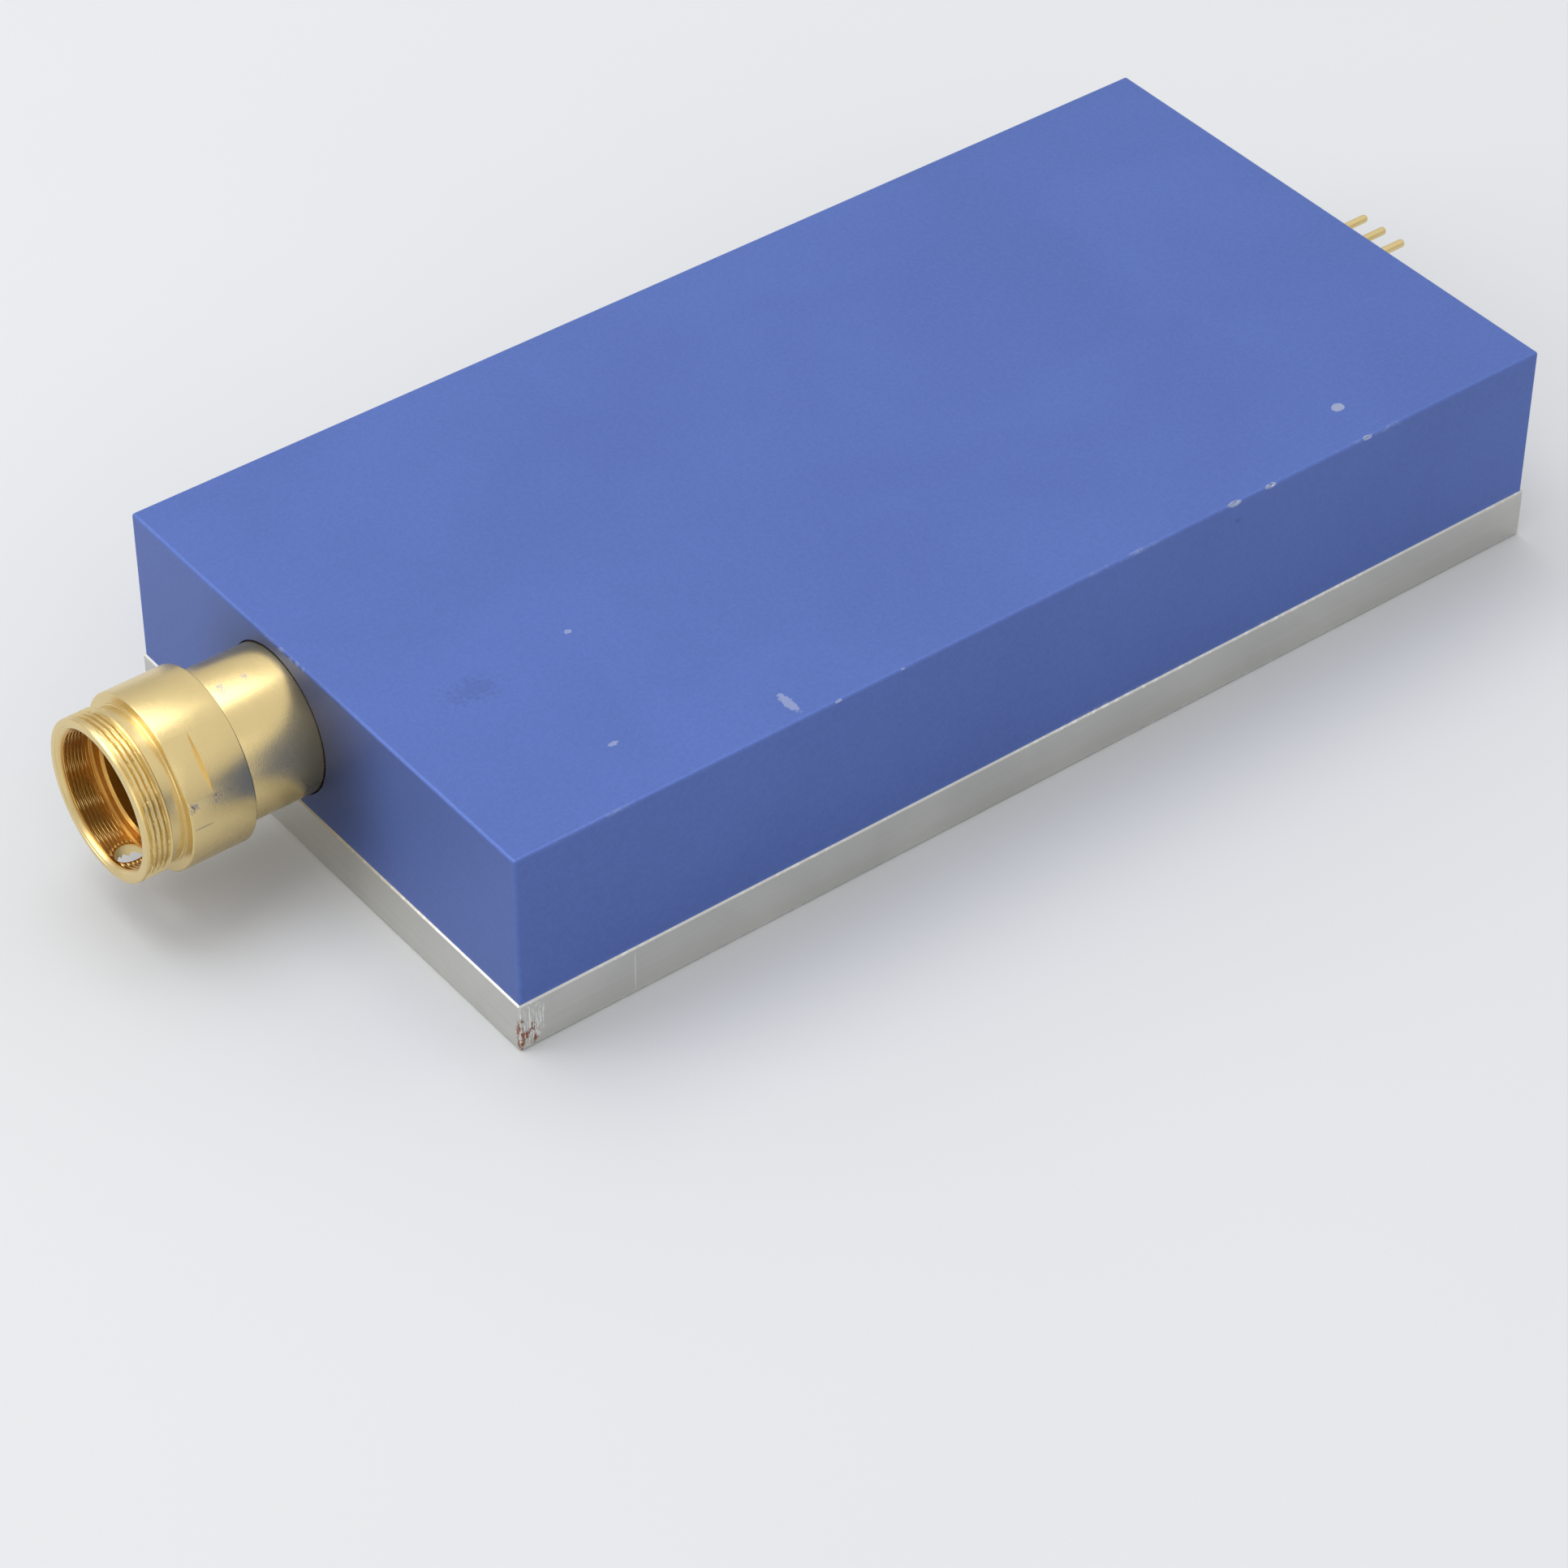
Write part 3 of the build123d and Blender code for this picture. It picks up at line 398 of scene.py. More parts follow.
# ------------------------------------------------------------------ shader tools
class ShaderGraph:
    """A short way to add and join nodes in one node tree."""

    def __init__(self, tree: bpy.types.NodeTree) -> None:
        """Starts on a tree."""
        self.tree = tree

    def add(self, kind: str, **properties: object) -> bpy.types.Node:
        """Adds a node.

        Args:
            kind: the node's type.
            properties: its settings.

        Returns:
            The node.
        """
        node = self.tree.nodes.new(kind)
        for name, value in properties.items():
            setattr(node, name, value)
        return node

    def feed(self, socket: bpy.types.NodeSocket, value: object) -> None:
        """Joins a socket to another, or sets its value."""
        if isinstance(value, bpy.types.NodeSocket):
            self.tree.links.new(value, socket)
        else:
            socket.default_value = value

    def math(self, operation: str, first: object, second: object = 0.0,
             clamp: bool = False) -> bpy.types.NodeSocket:
        """Adds a Math node and returns its result."""
        node = self.add("ShaderNodeMath", operation=operation, use_clamp=clamp)
        self.feed(node.inputs[0], first)
        self.feed(node.inputs[1], second)
        return node.outputs[0]

    def times(self, first: object, second: object) -> bpy.types.NodeSocket:
        """Multiplies two values."""
        return self.math("MULTIPLY", first, second)

    def most(self, first: object, second: object) -> bpy.types.NodeSocket:
        """The greater of two values."""
        return self.math("MAXIMUM", first, second)

    def ramp(self, value: object, slope: float, start: object) -> bpy.types.NodeSocket:
        """A value times a slope, added to a start."""
        result = self.math("MULTIPLY_ADD", value, slope)
        self.feed(result.node.inputs[2], start)
        return result

    def vector(self, operation: str, first: object, second: object) -> bpy.types.NodeSocket:
        """Adds a Vector Math node and returns its result, a length or distance included."""
        node = self.add("ShaderNodeVectorMath", operation=operation)
        self.feed(node.inputs[0], first)
        self.feed(node.inputs[1], second)
        single = operation in ("LENGTH", "DISTANCE", "DOT_PRODUCT")
        return node.outputs["Value" if single else "Vector"]

    def noise(self, vector: object, scale: float, detail: float = 2.0,
              roughness: float = 0.5, distortion: float = 0.0) -> bpy.types.NodeSocket:
        """Adds a noise texture and returns its value, about 0 to 1."""
        node = self.add("ShaderNodeTexNoise", noise_dimensions="3D")
        self.feed(node.inputs["Vector"], vector)
        self.feed(node.inputs["Scale"], scale)
        node.inputs["Detail"].default_value = detail
        node.inputs["Roughness"].default_value = roughness
        node.inputs["Distortion"].default_value = distortion
        return node.outputs[0]

    def ease(self, value: object, low: object, high: object, start: float = 0.0,
             end: float = 1.0) -> bpy.types.NodeSocket:
        """Maps a value smoothly from low..high to start..end."""
        node = self.add("ShaderNodeMapRange", interpolation_type="SMOOTHSTEP")
        self.feed(node.inputs["Value"], value)
        self.feed(node.inputs["From Min"], low)
        self.feed(node.inputs["From Max"], high)
        self.feed(node.inputs["To Min"], start)
        self.feed(node.inputs["To Max"], end)
        return node.outputs["Result"]

    def blend(self, share: object, first: object, second: object,
              mode: str = "MIX") -> bpy.types.NodeSocket:
        """Mixes two colours and returns the result."""
        node = self.add("ShaderNodeMix", data_type="RGBA", blend_type=mode, clamp_factor=True)
        self.feed(node.inputs[0], share)
        self.feed(node.inputs[6], (*first, 1.0) if isinstance(first, tuple) else first)
        self.feed(node.inputs[7], (*second, 1.0) if isinstance(second, tuple) else second)
        return node.outputs[2]

    def stretch(self, vector: object, scale: object,
                turn: object = (0.0, 0.0, 0.0)) -> bpy.types.NodeSocket:
        """Turns and scales a coordinate."""
        node = self.add("ShaderNodeMapping")
        self.feed(node.inputs["Vector"], vector)
        self.feed(node.inputs["Scale"], scale)
        self.feed(node.inputs["Rotation"], turn)
        return node.outputs["Vector"]

    def parts(self, vector: object) -> tuple[bpy.types.NodeSocket, ...]:
        """Splits a vector into its three parts."""
        node = self.add("ShaderNodeSeparateXYZ")
        self.feed(node.inputs[0], vector)
        return node.outputs[0], node.outputs[1], node.outputs[2]


Begun = tuple[bpy.types.Material, ShaderGraph, bpy.types.Node, bpy.types.NodeSocket]


class Effects:
    """Node groups that several finishes share. Each is built once."""

    def __init__(self) -> None:
        """Starts with no group built."""
        self.groups: dict[str, bpy.types.NodeTree] = {}

    def open_group(self, name: str, inputs: dict[str, object],
                   outputs: tuple[str, ...]) -> tuple[ShaderGraph, bpy.types.Node, bpy.types.Node]:
        """Makes an empty group with its sockets.

        Args:
            name: the group's name.
            inputs: each input's name and its default, a number or three numbers.
            outputs: the names of the value outputs.

        Returns:
            The graph, its input node and its output node.
        """
        tree = bpy.data.node_groups.new(name, "ShaderNodeTree")
        for label, default in inputs.items():
            kind = "NodeSocketVector" if isinstance(default, tuple) else "NodeSocketFloat"
            socket = tree.interface.new_socket(label, in_out="INPUT", socket_type=kind)
            socket.default_value = default
        for label in outputs:
            tree.interface.new_socket(label, in_out="OUTPUT", socket_type="NodeSocketFloat")
        self.groups[name] = tree
        graph = ShaderGraph(tree)
        return graph, graph.add("NodeGroupInput"), graph.add("NodeGroupOutput")

    def place(self, graph: ShaderGraph, name: str, **inputs: object) -> bpy.types.Node:
        """Puts a group in a material.

        Args:
            graph: the material's graph.
            name: the group's name.
            inputs: values or sockets by input name, with spaces as underscores.

        Returns:
            The group node.
        """
        if name not in self.groups:
            getattr(self, f"make_{name}")()
        node = graph.add("ShaderNodeGroup")
        node.node_tree = self.groups[name]
        for label, value in inputs.items():
            graph.feed(node.inputs[label.replace("_", " ").capitalize()], value)
        return node

    def make_grain(self) -> None:
        """Blasted metal: a fine height, a broad mottle and sparse glints."""
        graph, given, result = self.open_group(
            "grain", {"Vector": (0.0, 0.0, 0.0), "Scale": 9000.0, "Broad": 60.0},
            ("Height", "Mottle", "Glint"))
        vector = given.outputs["Vector"]
        scale = given.outputs["Scale"]
        fine = graph.noise(vector, scale, 2.0, 0.6)
        coarse = graph.noise(vector, graph.times(scale, 0.28), 2.0, 0.5)
        height = graph.math("ADD", graph.times(fine, 0.65),
                            graph.times(coarse, 0.35))
        mottle = graph.noise(vector, given.outputs["Broad"], 4.0, 0.55, 0.4)
        sparkle = graph.noise(vector, graph.times(scale, 1.3), 0.0)
        graph.feed(result.inputs["Height"], height)
        graph.feed(result.inputs["Mottle"], mottle)
        graph.feed(result.inputs["Glint"], graph.ease(sparkle, 0.70, 0.82))

    def make_box_edges(self) -> None:
        """How near a point on a box is to the box's edges, broken up by noise."""
        graph, given, result = self.open_group(
            "box_edges", {"Vector": (0.0, 0.0, 0.0), "Centre": (0.0, 0.0, 0.0),
                          "Half": (0.01, 0.01, 0.01), "Width": 0.0003, "Breaks": 0.5},
            ("Line", "Worn"))
        vector = given.outputs["Vector"]
        offset = graph.vector("SUBTRACT", vector, given.outputs["Centre"])
        inside = graph.vector("SUBTRACT", given.outputs["Half"],
                              graph.vector("ABSOLUTE", offset, (0.0, 0.0, 0.0)))
        x, y, z = graph.parts(inside)
        least = graph.math("MINIMUM", graph.math("MINIMUM", x, y), z)
        most = graph.most(graph.most(x, y), z)
        total = graph.math("ADD", graph.math("ADD", x, y), z)
        middle = graph.math("SUBTRACT", graph.math("SUBTRACT", total, least), most)
        reach = graph.math("DIVIDE", middle, given.outputs["Width"])
        line = graph.ease(reach, 0.25, 1.0, 1.0, 0.0)
        ragged = graph.noise(vector, 1400.0, 4.0, 0.65)
        patches = graph.noise(vector, 90.0, 2.0)
        strength = graph.times(graph.ease(ragged, 0.45, 0.62),
                              graph.ease(patches, given.outputs["Breaks"], 0.75))
        graph.feed(result.inputs["Line"], line)
        graph.feed(result.inputs["Worn"], graph.times(line, strength))

    def make_spot(self) -> None:
        """One frayed spot at a place, such as a chip or a rub mark."""
        graph, given, result = self.open_group(
            "spot", {"Vector": (0.0, 0.0, 0.0), "Centre": (0.0, 0.0, 0.0),
                     "Size": (0.001, 0.001, 0.001), "Fray": 0.6, "Frequency": 2500.0,
                     "Soft": 0.0},
            ("Mask",))
        vector = given.outputs["Vector"]
        offset = graph.vector("SUBTRACT", vector, given.outputs["Centre"])
        scaled = graph.vector("DIVIDE", offset, given.outputs["Size"])
        distance = graph.vector("LENGTH", scaled, (0.0, 0.0, 0.0))
        ragged = graph.noise(vector, given.outputs["Frequency"], 4.0, 0.7)
        shift = graph.times(graph.math("SUBTRACT", ragged, 0.5),
                           graph.times(given.outputs["Fray"], 3.0))
        inner = graph.math("SUBTRACT", 0.75, given.outputs["Soft"])
        graph.feed(result.inputs["Mask"],
                   graph.ease(graph.math("ADD", distance, shift), inner, 1.0, 1.0, 0.0))

    def make_scratches(self) -> None:
        """Fine scratches in one direction, in patches."""
        graph, given, result = self.open_group(
            "scratches", {"Vector": (0.0, 0.0, 0.0), "Along": (40.0, 900.0, 900.0),
                          "Turn": (0.0, 0.0, 0.0), "Amount": 0.5},
            ("Mask",))
        along = graph.stretch(given.outputs["Vector"], given.outputs["Along"], given.outputs["Turn"])
        lines = graph.noise(along, 1.0, 2.0, 0.6, 0.3)
        hairs = graph.ease(lines, 0.66, 0.72)
        patches = graph.noise(given.outputs["Vector"], 55.0, 3.0, 0.6)
        where = graph.ease(patches, graph.math("SUBTRACT", 1.0, given.outputs["Amount"]), 0.85)
        graph.feed(result.inputs["Mask"], graph.times(hairs, where))


@dataclass(frozen=True)
class Mark:
    """One spot on a surface: its place, its reach in metres along the axes, and its fray."""

    place: Place
    size: Place
    fray: float = 0.6
    frequency: float = 2500.0
    soft: float = 0.0


class Finish:
    """Shared start and end of every finish."""

    @staticmethod
    def begin(name: str) -> Begun:
        """Makes a material with an empty surface shader.

        Args:
            name: the material's name.

        Returns:
            The material, its graph, its surface shader and the object coordinate.
        """
        material = bpy.data.materials.new(name)
        material.use_nodes = True
        material.node_tree.nodes.clear()
        graph = ShaderGraph(material.node_tree)
        output = graph.add("ShaderNodeOutputMaterial")
        shader = graph.add("ShaderNodeBsdfPrincipled")
        graph.feed(output.inputs["Surface"], shader.outputs["BSDF"])
        coordinate = graph.add("ShaderNodeTexCoord").outputs["Object"]
        return material, graph, shader, coordinate

    @staticmethod
    def roughen(graph: ShaderGraph, shader: bpy.types.Node, grain: bpy.types.Node,
                spread: float, least: float) -> None:
        """Varies the roughness with the grain's broad mottle."""
        graph.feed(shader.inputs["Roughness"], graph.ramp(grain.outputs["Mottle"], spread, least))

    @staticmethod
    def bump(graph: ShaderGraph, shader: bpy.types.Node, height: object, strength: float,
             distance: float = 0.03 * MM) -> None:
        """Joins a height to the shader's normal.

        Args:
            graph: the material's graph.
            shader: its surface shader.
            height: the height's socket.
            strength: the bump's strength.
            distance: the height's reach in metres.
        """
        node = graph.add("ShaderNodeBump")
        node.inputs["Strength"].default_value = strength
        node.inputs["Distance"].default_value = distance
        graph.feed(node.inputs["Height"], height)
        graph.feed(shader.inputs["Normal"], node.outputs["Normal"])

    @staticmethod
    def marks(graph: ShaderGraph, effects: Effects, coordinate: object,
              marks: tuple[Mark, ...]) -> Value:
        """The union of several spots.

        Args:
            graph: the material's graph.
            effects: the shared groups.
            coordinate: the object coordinate.
            marks: the spots.

        Returns:
            A mask that is 1 on every spot.
        """
        total: Value = 0.0
        for mark in marks:
            spot = effects.place(graph, "spot", vector=coordinate, centre=mark.place,
                                 size=mark.size, fray=mark.fray, frequency=mark.frequency,
                                 soft=mark.soft)
            total = graph.most(total, spot.outputs["Mask"])
        return total


@dataclass(frozen=True)
class AnodisedFinish:
    """Satin anodised aluminium, with bare metal where the film is chipped, a painted highlight along every
    edge and painted shade at its shade marks.
    """

    name: str
    colour: Colour
    centre: Place
    half: Place
    chips: tuple[Mark, ...] = ()
    rubs: tuple[Mark, ...] = ()
    smudges: tuple[Mark, ...] = ()
    # Painted shade: marks where the film is darkened to stand for the shade that the connector casts on
    # the front wall.
    painted_shade: tuple[Mark, ...] = ()
    bare: Colour = (0.47, 0.51, 0.62)
    edge_width: float = 0.42 * MM
    edge_breaks: float = 0.52
    smudge_share: float = 0.22
    painted_shade_share: float = 0.85
    chip_share: float = 0.6
    rub_share: float = 0.4
    metallic: float = 0.42
    roughness: float = 0.40

    def build(self, effects: Effects) -> bpy.types.Material:
        """Makes the material.

        Args:
            effects: the shared groups.

        Returns:
            The material.
        """
        material, graph, shader, coordinate = Finish.begin(self.name)
        grain = effects.place(graph, "grain", vector=coordinate, scale=8000.0, broad=45.0)
        edges = effects.place(graph, "box_edges", vector=coordinate, centre=self.centre,
                              half=self.half, width=self.edge_width, breaks=self.edge_breaks)
        hairs = effects.place(graph, "scratches", vector=coordinate, along=(60.0, 1500.0, 1500.0),
                              turn=(0.0, 0.0, 0.6), amount=0.42)
        chips = Finish.marks(graph, effects, coordinate, self.chips)
        rubs = Finish.marks(graph, effects, coordinate, self.rubs)
        smudges = Finish.marks(graph, effects, coordinate, self.smudges)
        painted_shade = Finish.marks(graph, effects, coordinate, self.painted_shade)
        mottle = graph.ease(grain.outputs["Mottle"], 0.3, 0.7)
        film = graph.blend(mottle, shade(self.colour, 0.97), shade(self.colour, 1.04, 0.002))
        # Painted highlight: the film is lighter in a thin even line along every edge, standing for light
        # caught by the rounded edges.
        film = graph.blend(graph.times(edges.outputs["Line"], 0.18), film,
                           shade(self.colour, 1.5, 0.05))
        # One dark tone serves real smudges of dirt and the painted shade marks.
        smudge_and_shade_colour = shade(self.colour, 0.3)
        film = graph.blend(graph.times(smudges, self.smudge_share), film, smudge_and_shade_colour)
        # Painted shade: the film darkened at the shade marks, standing for the connector's shade.
        film = graph.blend(graph.times(painted_shade, self.painted_shade_share), film, smudge_and_shade_colour)
        fleck = graph.ease(grain.outputs["Height"], 0.42, 0.58, 0.95, 1.05)
        film = graph.vector("MULTIPLY", film, fleck)
        film = graph.blend(graph.times(grain.outputs["Glint"], 0.05), film, self.bare)
        worn = graph.times(edges.outputs["Worn"], 0.35)
        worn = graph.most(worn, graph.times(chips, self.chip_share))
        worn = graph.most(worn, graph.times(rubs, self.rub_share))
        worn = graph.most(worn, graph.times(hairs.outputs["Mask"], 0.08))
        graph.feed(shader.inputs["Base Color"], graph.blend(worn, film, self.bare))
        graph.feed(shader.inputs["Metallic"], graph.ramp(worn, 0.4, self.metallic))
        Finish.roughen(graph, shader, grain, 0.04, self.roughness)
        height = graph.math("SUBTRACT", grain.outputs["Height"],
                            graph.times(graph.most(chips, rubs), 0.6))
        Finish.bump(graph, shader, height, 0.22)
        return material


@dataclass(frozen=True)
class NickelFinish:
    """Nickel plate over copper: worn edges, scratches, copper at a knocked corner, and a painted highlight
    along every edge.
    """

    name: str
    centre: Place
    half: Place
    bared: tuple[Mark, ...] = ()
    knocks: tuple[Mark, ...] = ()
    lines: tuple[Mark, ...] = ()
    colour: Colour = (0.60, 0.595, 0.56)
    bright: Colour = (0.86, 0.86, 0.83)
    copper: Colour = (0.30, 0.125, 0.075)
    stroke_turns: tuple[float, ...] = (0.5, -0.6, 1.3)
    stroke_stretch: Place = (5200.0, 5200.0, 700.0)
    mill_stretch: Place = (25.0, 25.0, 2400.0)
    mill_share: float = 0.07
    edge_width: float = 0.35 * MM
    edge_breaks: float = 0.30
    metallic: float = 0.92
    roughness: float = 0.32

    def build(self, effects: Effects) -> bpy.types.Material:
        """Makes the material.

        Args:
            effects: the shared groups.

        Returns:
            The material.
        """
        material, graph, shader, coordinate = Finish.begin(self.name)
        grain = effects.place(graph, "grain", vector=coordinate, scale=7000.0, broad=80.0)
        edges = effects.place(graph, "box_edges", vector=coordinate, centre=self.centre,
                              half=self.half, width=self.edge_width, breaks=self.edge_breaks)
        hairs = effects.place(graph, "scratches", vector=coordinate, along=(120.0, 700.0, 2600.0),
                              turn=(0.0, 0.0, 0.0), amount=0.60)
        mill = graph.noise(graph.stretch(coordinate, self.mill_stretch), 1.0, 3.0, 0.6)
        knocks = Finish.marks(graph, effects, coordinate, self.knocks)
        lines = Finish.marks(graph, effects, coordinate, self.lines)
        mottle = graph.ease(grain.outputs["Mottle"], 0.3, 0.72)
        plate = graph.blend(mottle, shade(self.colour, 0.94), shade(self.colour, 1.05))
        milled = graph.times(graph.ease(mill, 0.4, 0.7), self.mill_share)
        plate = graph.blend(milled, plate, self.bright)
        # Painted highlight: an even bright line along every edge, joined below with real edge wear, hair
        # scratches and the scratch line, all mixed towards bright nickel.
        edge_highlight_and_wear = graph.times(edges.outputs["Line"], 0.10)
        edge_highlight_and_wear = graph.most(edge_highlight_and_wear, edges.outputs["Worn"])
        edge_highlight_and_wear = graph.most(edge_highlight_and_wear, graph.times(hairs.outputs["Mask"], 0.5))
        edge_highlight_and_wear = graph.most(edge_highlight_and_wear, lines)
        plate = graph.blend(edge_highlight_and_wear, plate, self.bright)
        strokes: Value = 0.0
        for turn in self.stroke_turns:
            along = graph.stretch(coordinate, self.stroke_stretch, (turn, turn, 0.0))
            strokes = graph.most(strokes, graph.noise(along, 1.0, 2.0, 0.6, 0.3))
        gouges = graph.times(knocks, graph.ease(strokes, 0.575, 0.64))
        patchy = graph.noise(coordinate, 1600.0, 3.0, 0.6)
        bared = Finish.marks(graph, effects, coordinate, self.bared)
        core = graph.times(graph.ease(patchy, 0.38, 0.54), bared)
        plate = graph.blend(core, plate, self.copper)
        plate = graph.blend(gouges, plate, self.bright)
        graph.feed(shader.inputs["Base Color"], plate)
        shader.inputs["Metallic"].default_value = self.metallic
        Finish.roughen(graph, shader, grain, 0.12, self.roughness)
        height = graph.ramp(mill, 0.12, grain.outputs["Height"])
        dents = graph.math("ADD", graph.times(gouges, 2.0), lines)
        Finish.bump(graph, shader, graph.math("SUBTRACT", height, dents), 0.25)
        return material


@dataclass(frozen=True)
class GoldFinish:
    """Satin gold plate on turned brass: faint tool rings, glints, scuffs, dark scratches, and painted
    shade inside a bore when one is given.
    """

    name: str
    axis: tuple[float, float]
    scuffs: tuple[Mark, ...] = ()
    scratches: tuple[Mark, ...] = ()
    colour: Colour = (0.80, 0.625, 0.30)
    pale: Colour = (0.88, 0.78, 0.52)
    dark: Colour = (0.26, 0.22, 0.20)
    rubbed: Colour = (0.34, 0.32, 0.36)
    # Colour of the painted shade and painted reflected gold light inside the bore.
    painted_bore_shade: Colour = (0.62, 0.33, 0.07)
    bore_radius: float = 0.0
    bore_fade: float = 0.1 * MM
    ring_stretch: Place = (9000.0, 60.0, 60.0)
    scuff_stretch: Place = (1800.0, 2600.0, 900.0)
    scuff_turn: Place = (0.5, 0.3, 0.2)
    roughness: float = 0.27

    def build(self, effects: Effects) -> bpy.types.Material:
        """Makes the material.

        Args:
            effects: the shared groups.

        Returns:
            The material.
        """
        material, graph, shader, coordinate = Finish.begin(self.name)
        grain = effects.place(graph, "grain", vector=coordinate, scale=9500.0, broad=220.0)
        rings = graph.noise(graph.stretch(coordinate, self.ring_stretch), 1.0, 2.0, 0.6)
        scuffs = Finish.marks(graph, effects, coordinate, self.scuffs)
        scratches = Finish.marks(graph, effects, coordinate, self.scratches)
        mottle = graph.ease(grain.outputs["Mottle"], 0.30, 0.72)
        plate = graph.blend(mottle, shade(self.colour, 0.95), self.colour)
        plate = graph.blend(graph.times(grain.outputs["Glint"], 0.35), plate, self.pale)
        cross = graph.noise(graph.stretch(coordinate, self.scuff_stretch, self.scuff_turn),
                            1.0, 3.0, 0.7, 1.0)
        streaks = graph.times(scuffs, graph.ease(cross, 0.46, 0.56))
        plate = graph.blend(graph.times(streaks, 0.7), plate, self.rubbed)
        pits = graph.times(scuffs, graph.ease(cross, 0.34, 0.44, 1.0, 0.0))
        plate = graph.blend(graph.most(pits, scratches), plate, self.dark)
        # Painted shade: inside the bore the gold is darkened and deepened towards orange, standing for
        # shade and reflected gold light in the recess.
        if self.bore_radius:
            plate = graph.blend(self.inside(graph, coordinate), plate, self.painted_bore_shade)
        graph.feed(shader.inputs["Base Color"], plate)
        shader.inputs["Metallic"].default_value = 1.0
        rough = graph.ramp(grain.outputs["Mottle"], 0.10, self.roughness - 0.05)
        rough = graph.math("ADD", rough, graph.times(scuffs, 0.12))
        graph.feed(shader.inputs["Roughness"], rough)
        height = graph.ramp(rings, 0.25, grain.outputs["Height"])
        dents = graph.ramp(streaks, 0.3, scratches)
        Finish.bump(graph, shader, graph.math("SUBTRACT", height, dents), 0.45, 0.02 * MM)
        return material

    def inside(self, graph: ShaderGraph, coordinate: bpy.types.NodeSocket) -> bpy.types.NodeSocket:
        """How far a point lies inside the bore, where the plate takes painted shade and painted reflected
        gold light.

        Args:
            graph: the material's graph.
            coordinate: the object coordinate.

        Returns:
            A mask that is 1 inside the bore.
        """
        offset = graph.vector("SUBTRACT", coordinate, (0.0, *self.axis))
        spoke = graph.vector("MULTIPLY", offset, (0.0, 1.0, 1.0))
        distance = graph.vector("LENGTH", spoke, (0.0, 0.0, 0.0))
        return graph.ease(distance, self.bore_radius - self.bore_fade,
                          self.bore_radius + self.bore_fade, 0.9, 0.0)


@dataclass(frozen=True)
class PlainMetalFinish:
    """Machined or rolled metal for screws, blocks and strips."""

    name: str
    colour: Colour
    roughness: float = 0.32
    grain_scale: float = 5000.0

    def build(self, effects: Effects) -> bpy.types.Material:
        """Makes the material.

        Args:
            effects: the shared groups.

        Returns:
            The material.
        """
        material, graph, shader, coordinate = Finish.begin(self.name)
        grain = effects.place(graph, "grain", vector=coordinate, scale=self.grain_scale, broad=300.0)
        hairs = effects.place(graph, "scratches", vector=coordinate,
                              along=(400.0, 2400.0, 2400.0), turn=(0.0, 0.0, 0.4), amount=0.5)
        mottle = graph.ease(grain.outputs["Mottle"], 0.3, 0.7)
        plain = graph.blend(mottle, shade(self.colour, 0.85), self.colour)
        plain = graph.blend(graph.times(hairs.outputs["Mask"], 0.5), plain, shade(self.colour, 1.3))
        graph.feed(shader.inputs["Base Color"], plain)
        shader.inputs["Metallic"].default_value = 1.0
        Finish.roughen(graph, shader, grain, 0.16, self.roughness - 0.08)
        Finish.bump(graph, shader, grain.outputs["Height"], 0.2)
        return material


@dataclass(frozen=True)
class MouldedFinish:
    """Dull moulded or fired material: plastic, rubber, ceramic or a dark chip."""

    name: str
    colour: Colour
    roughness: float = 0.55
    grain_scale: float = 4000.0
    depth: float = 0.3

    def build(self, effects: Effects) -> bpy.types.Material:
        """Makes the material.

        Args:
            effects: the shared groups.

        Returns:
            The material.
        """
        material, graph, shader, coordinate = Finish.begin(self.name)
        grain = effects.place(graph, "grain", vector=coordinate, scale=self.grain_scale, broad=250.0)
        mottle = graph.ease(grain.outputs["Mottle"], 0.3, 0.7)
        body = graph.blend(mottle, shade(self.colour, 0.85), shade(self.colour, 1.12))
        graph.feed(shader.inputs["Base Color"], body)
        Finish.roughen(graph, shader, grain, 0.15, self.roughness - 0.07)
        Finish.bump(graph, shader, grain.outputs["Height"], self.depth, 0.04 * MM)
        return material


@dataclass(frozen=True)
class GlassFinish:
    """Coated optical glass with a faint dust film."""

    name: str
    colour: Colour = (0.90, 0.96, 0.97)

    def build(self, effects: Effects) -> bpy.types.Material:
        """Makes the material.

        Args:
            effects: the shared groups.

        Returns:
            The material.
        """
        material, graph, shader, coordinate = Finish.begin(self.name)
        grain = effects.place(graph, "grain", vector=coordinate, scale=3000.0, broad=500.0)
        tint = graph.blend(graph.ease(grain.outputs["Mottle"], 0.3, 0.7), self.colour,
                           shade(self.colour, 0.96))
        graph.feed(shader.inputs["Base Color"], tint)
        shader.inputs["Metallic"].default_value = 0.0
        shader.inputs["Transmission Weight"].default_value = 1.0
        shader.inputs["IOR"].default_value = 1.5
        graph.feed(shader.inputs["Roughness"], graph.ramp(grain.outputs["Glint"], 0.12, 0.02))
        Finish.bump(graph, shader, grain.outputs["Height"], 0.02, 0.01 * MM)
        return material


# ------------------------------------------------------------------ sub-assemblies
def dress(piece: bpy.types.Object, material: bpy.types.Material) -> None:
    """Gives a whole piece one material."""
    piece.data.materials.clear()
    piece.data.materials.append(material)


def middle_of(low: Vector, high: Vector) -> tuple[Place, Place]:
    """The centre and half size of a box, as plain numbers."""
    return tuple((low + high) / 2), tuple((high - low) / 2)


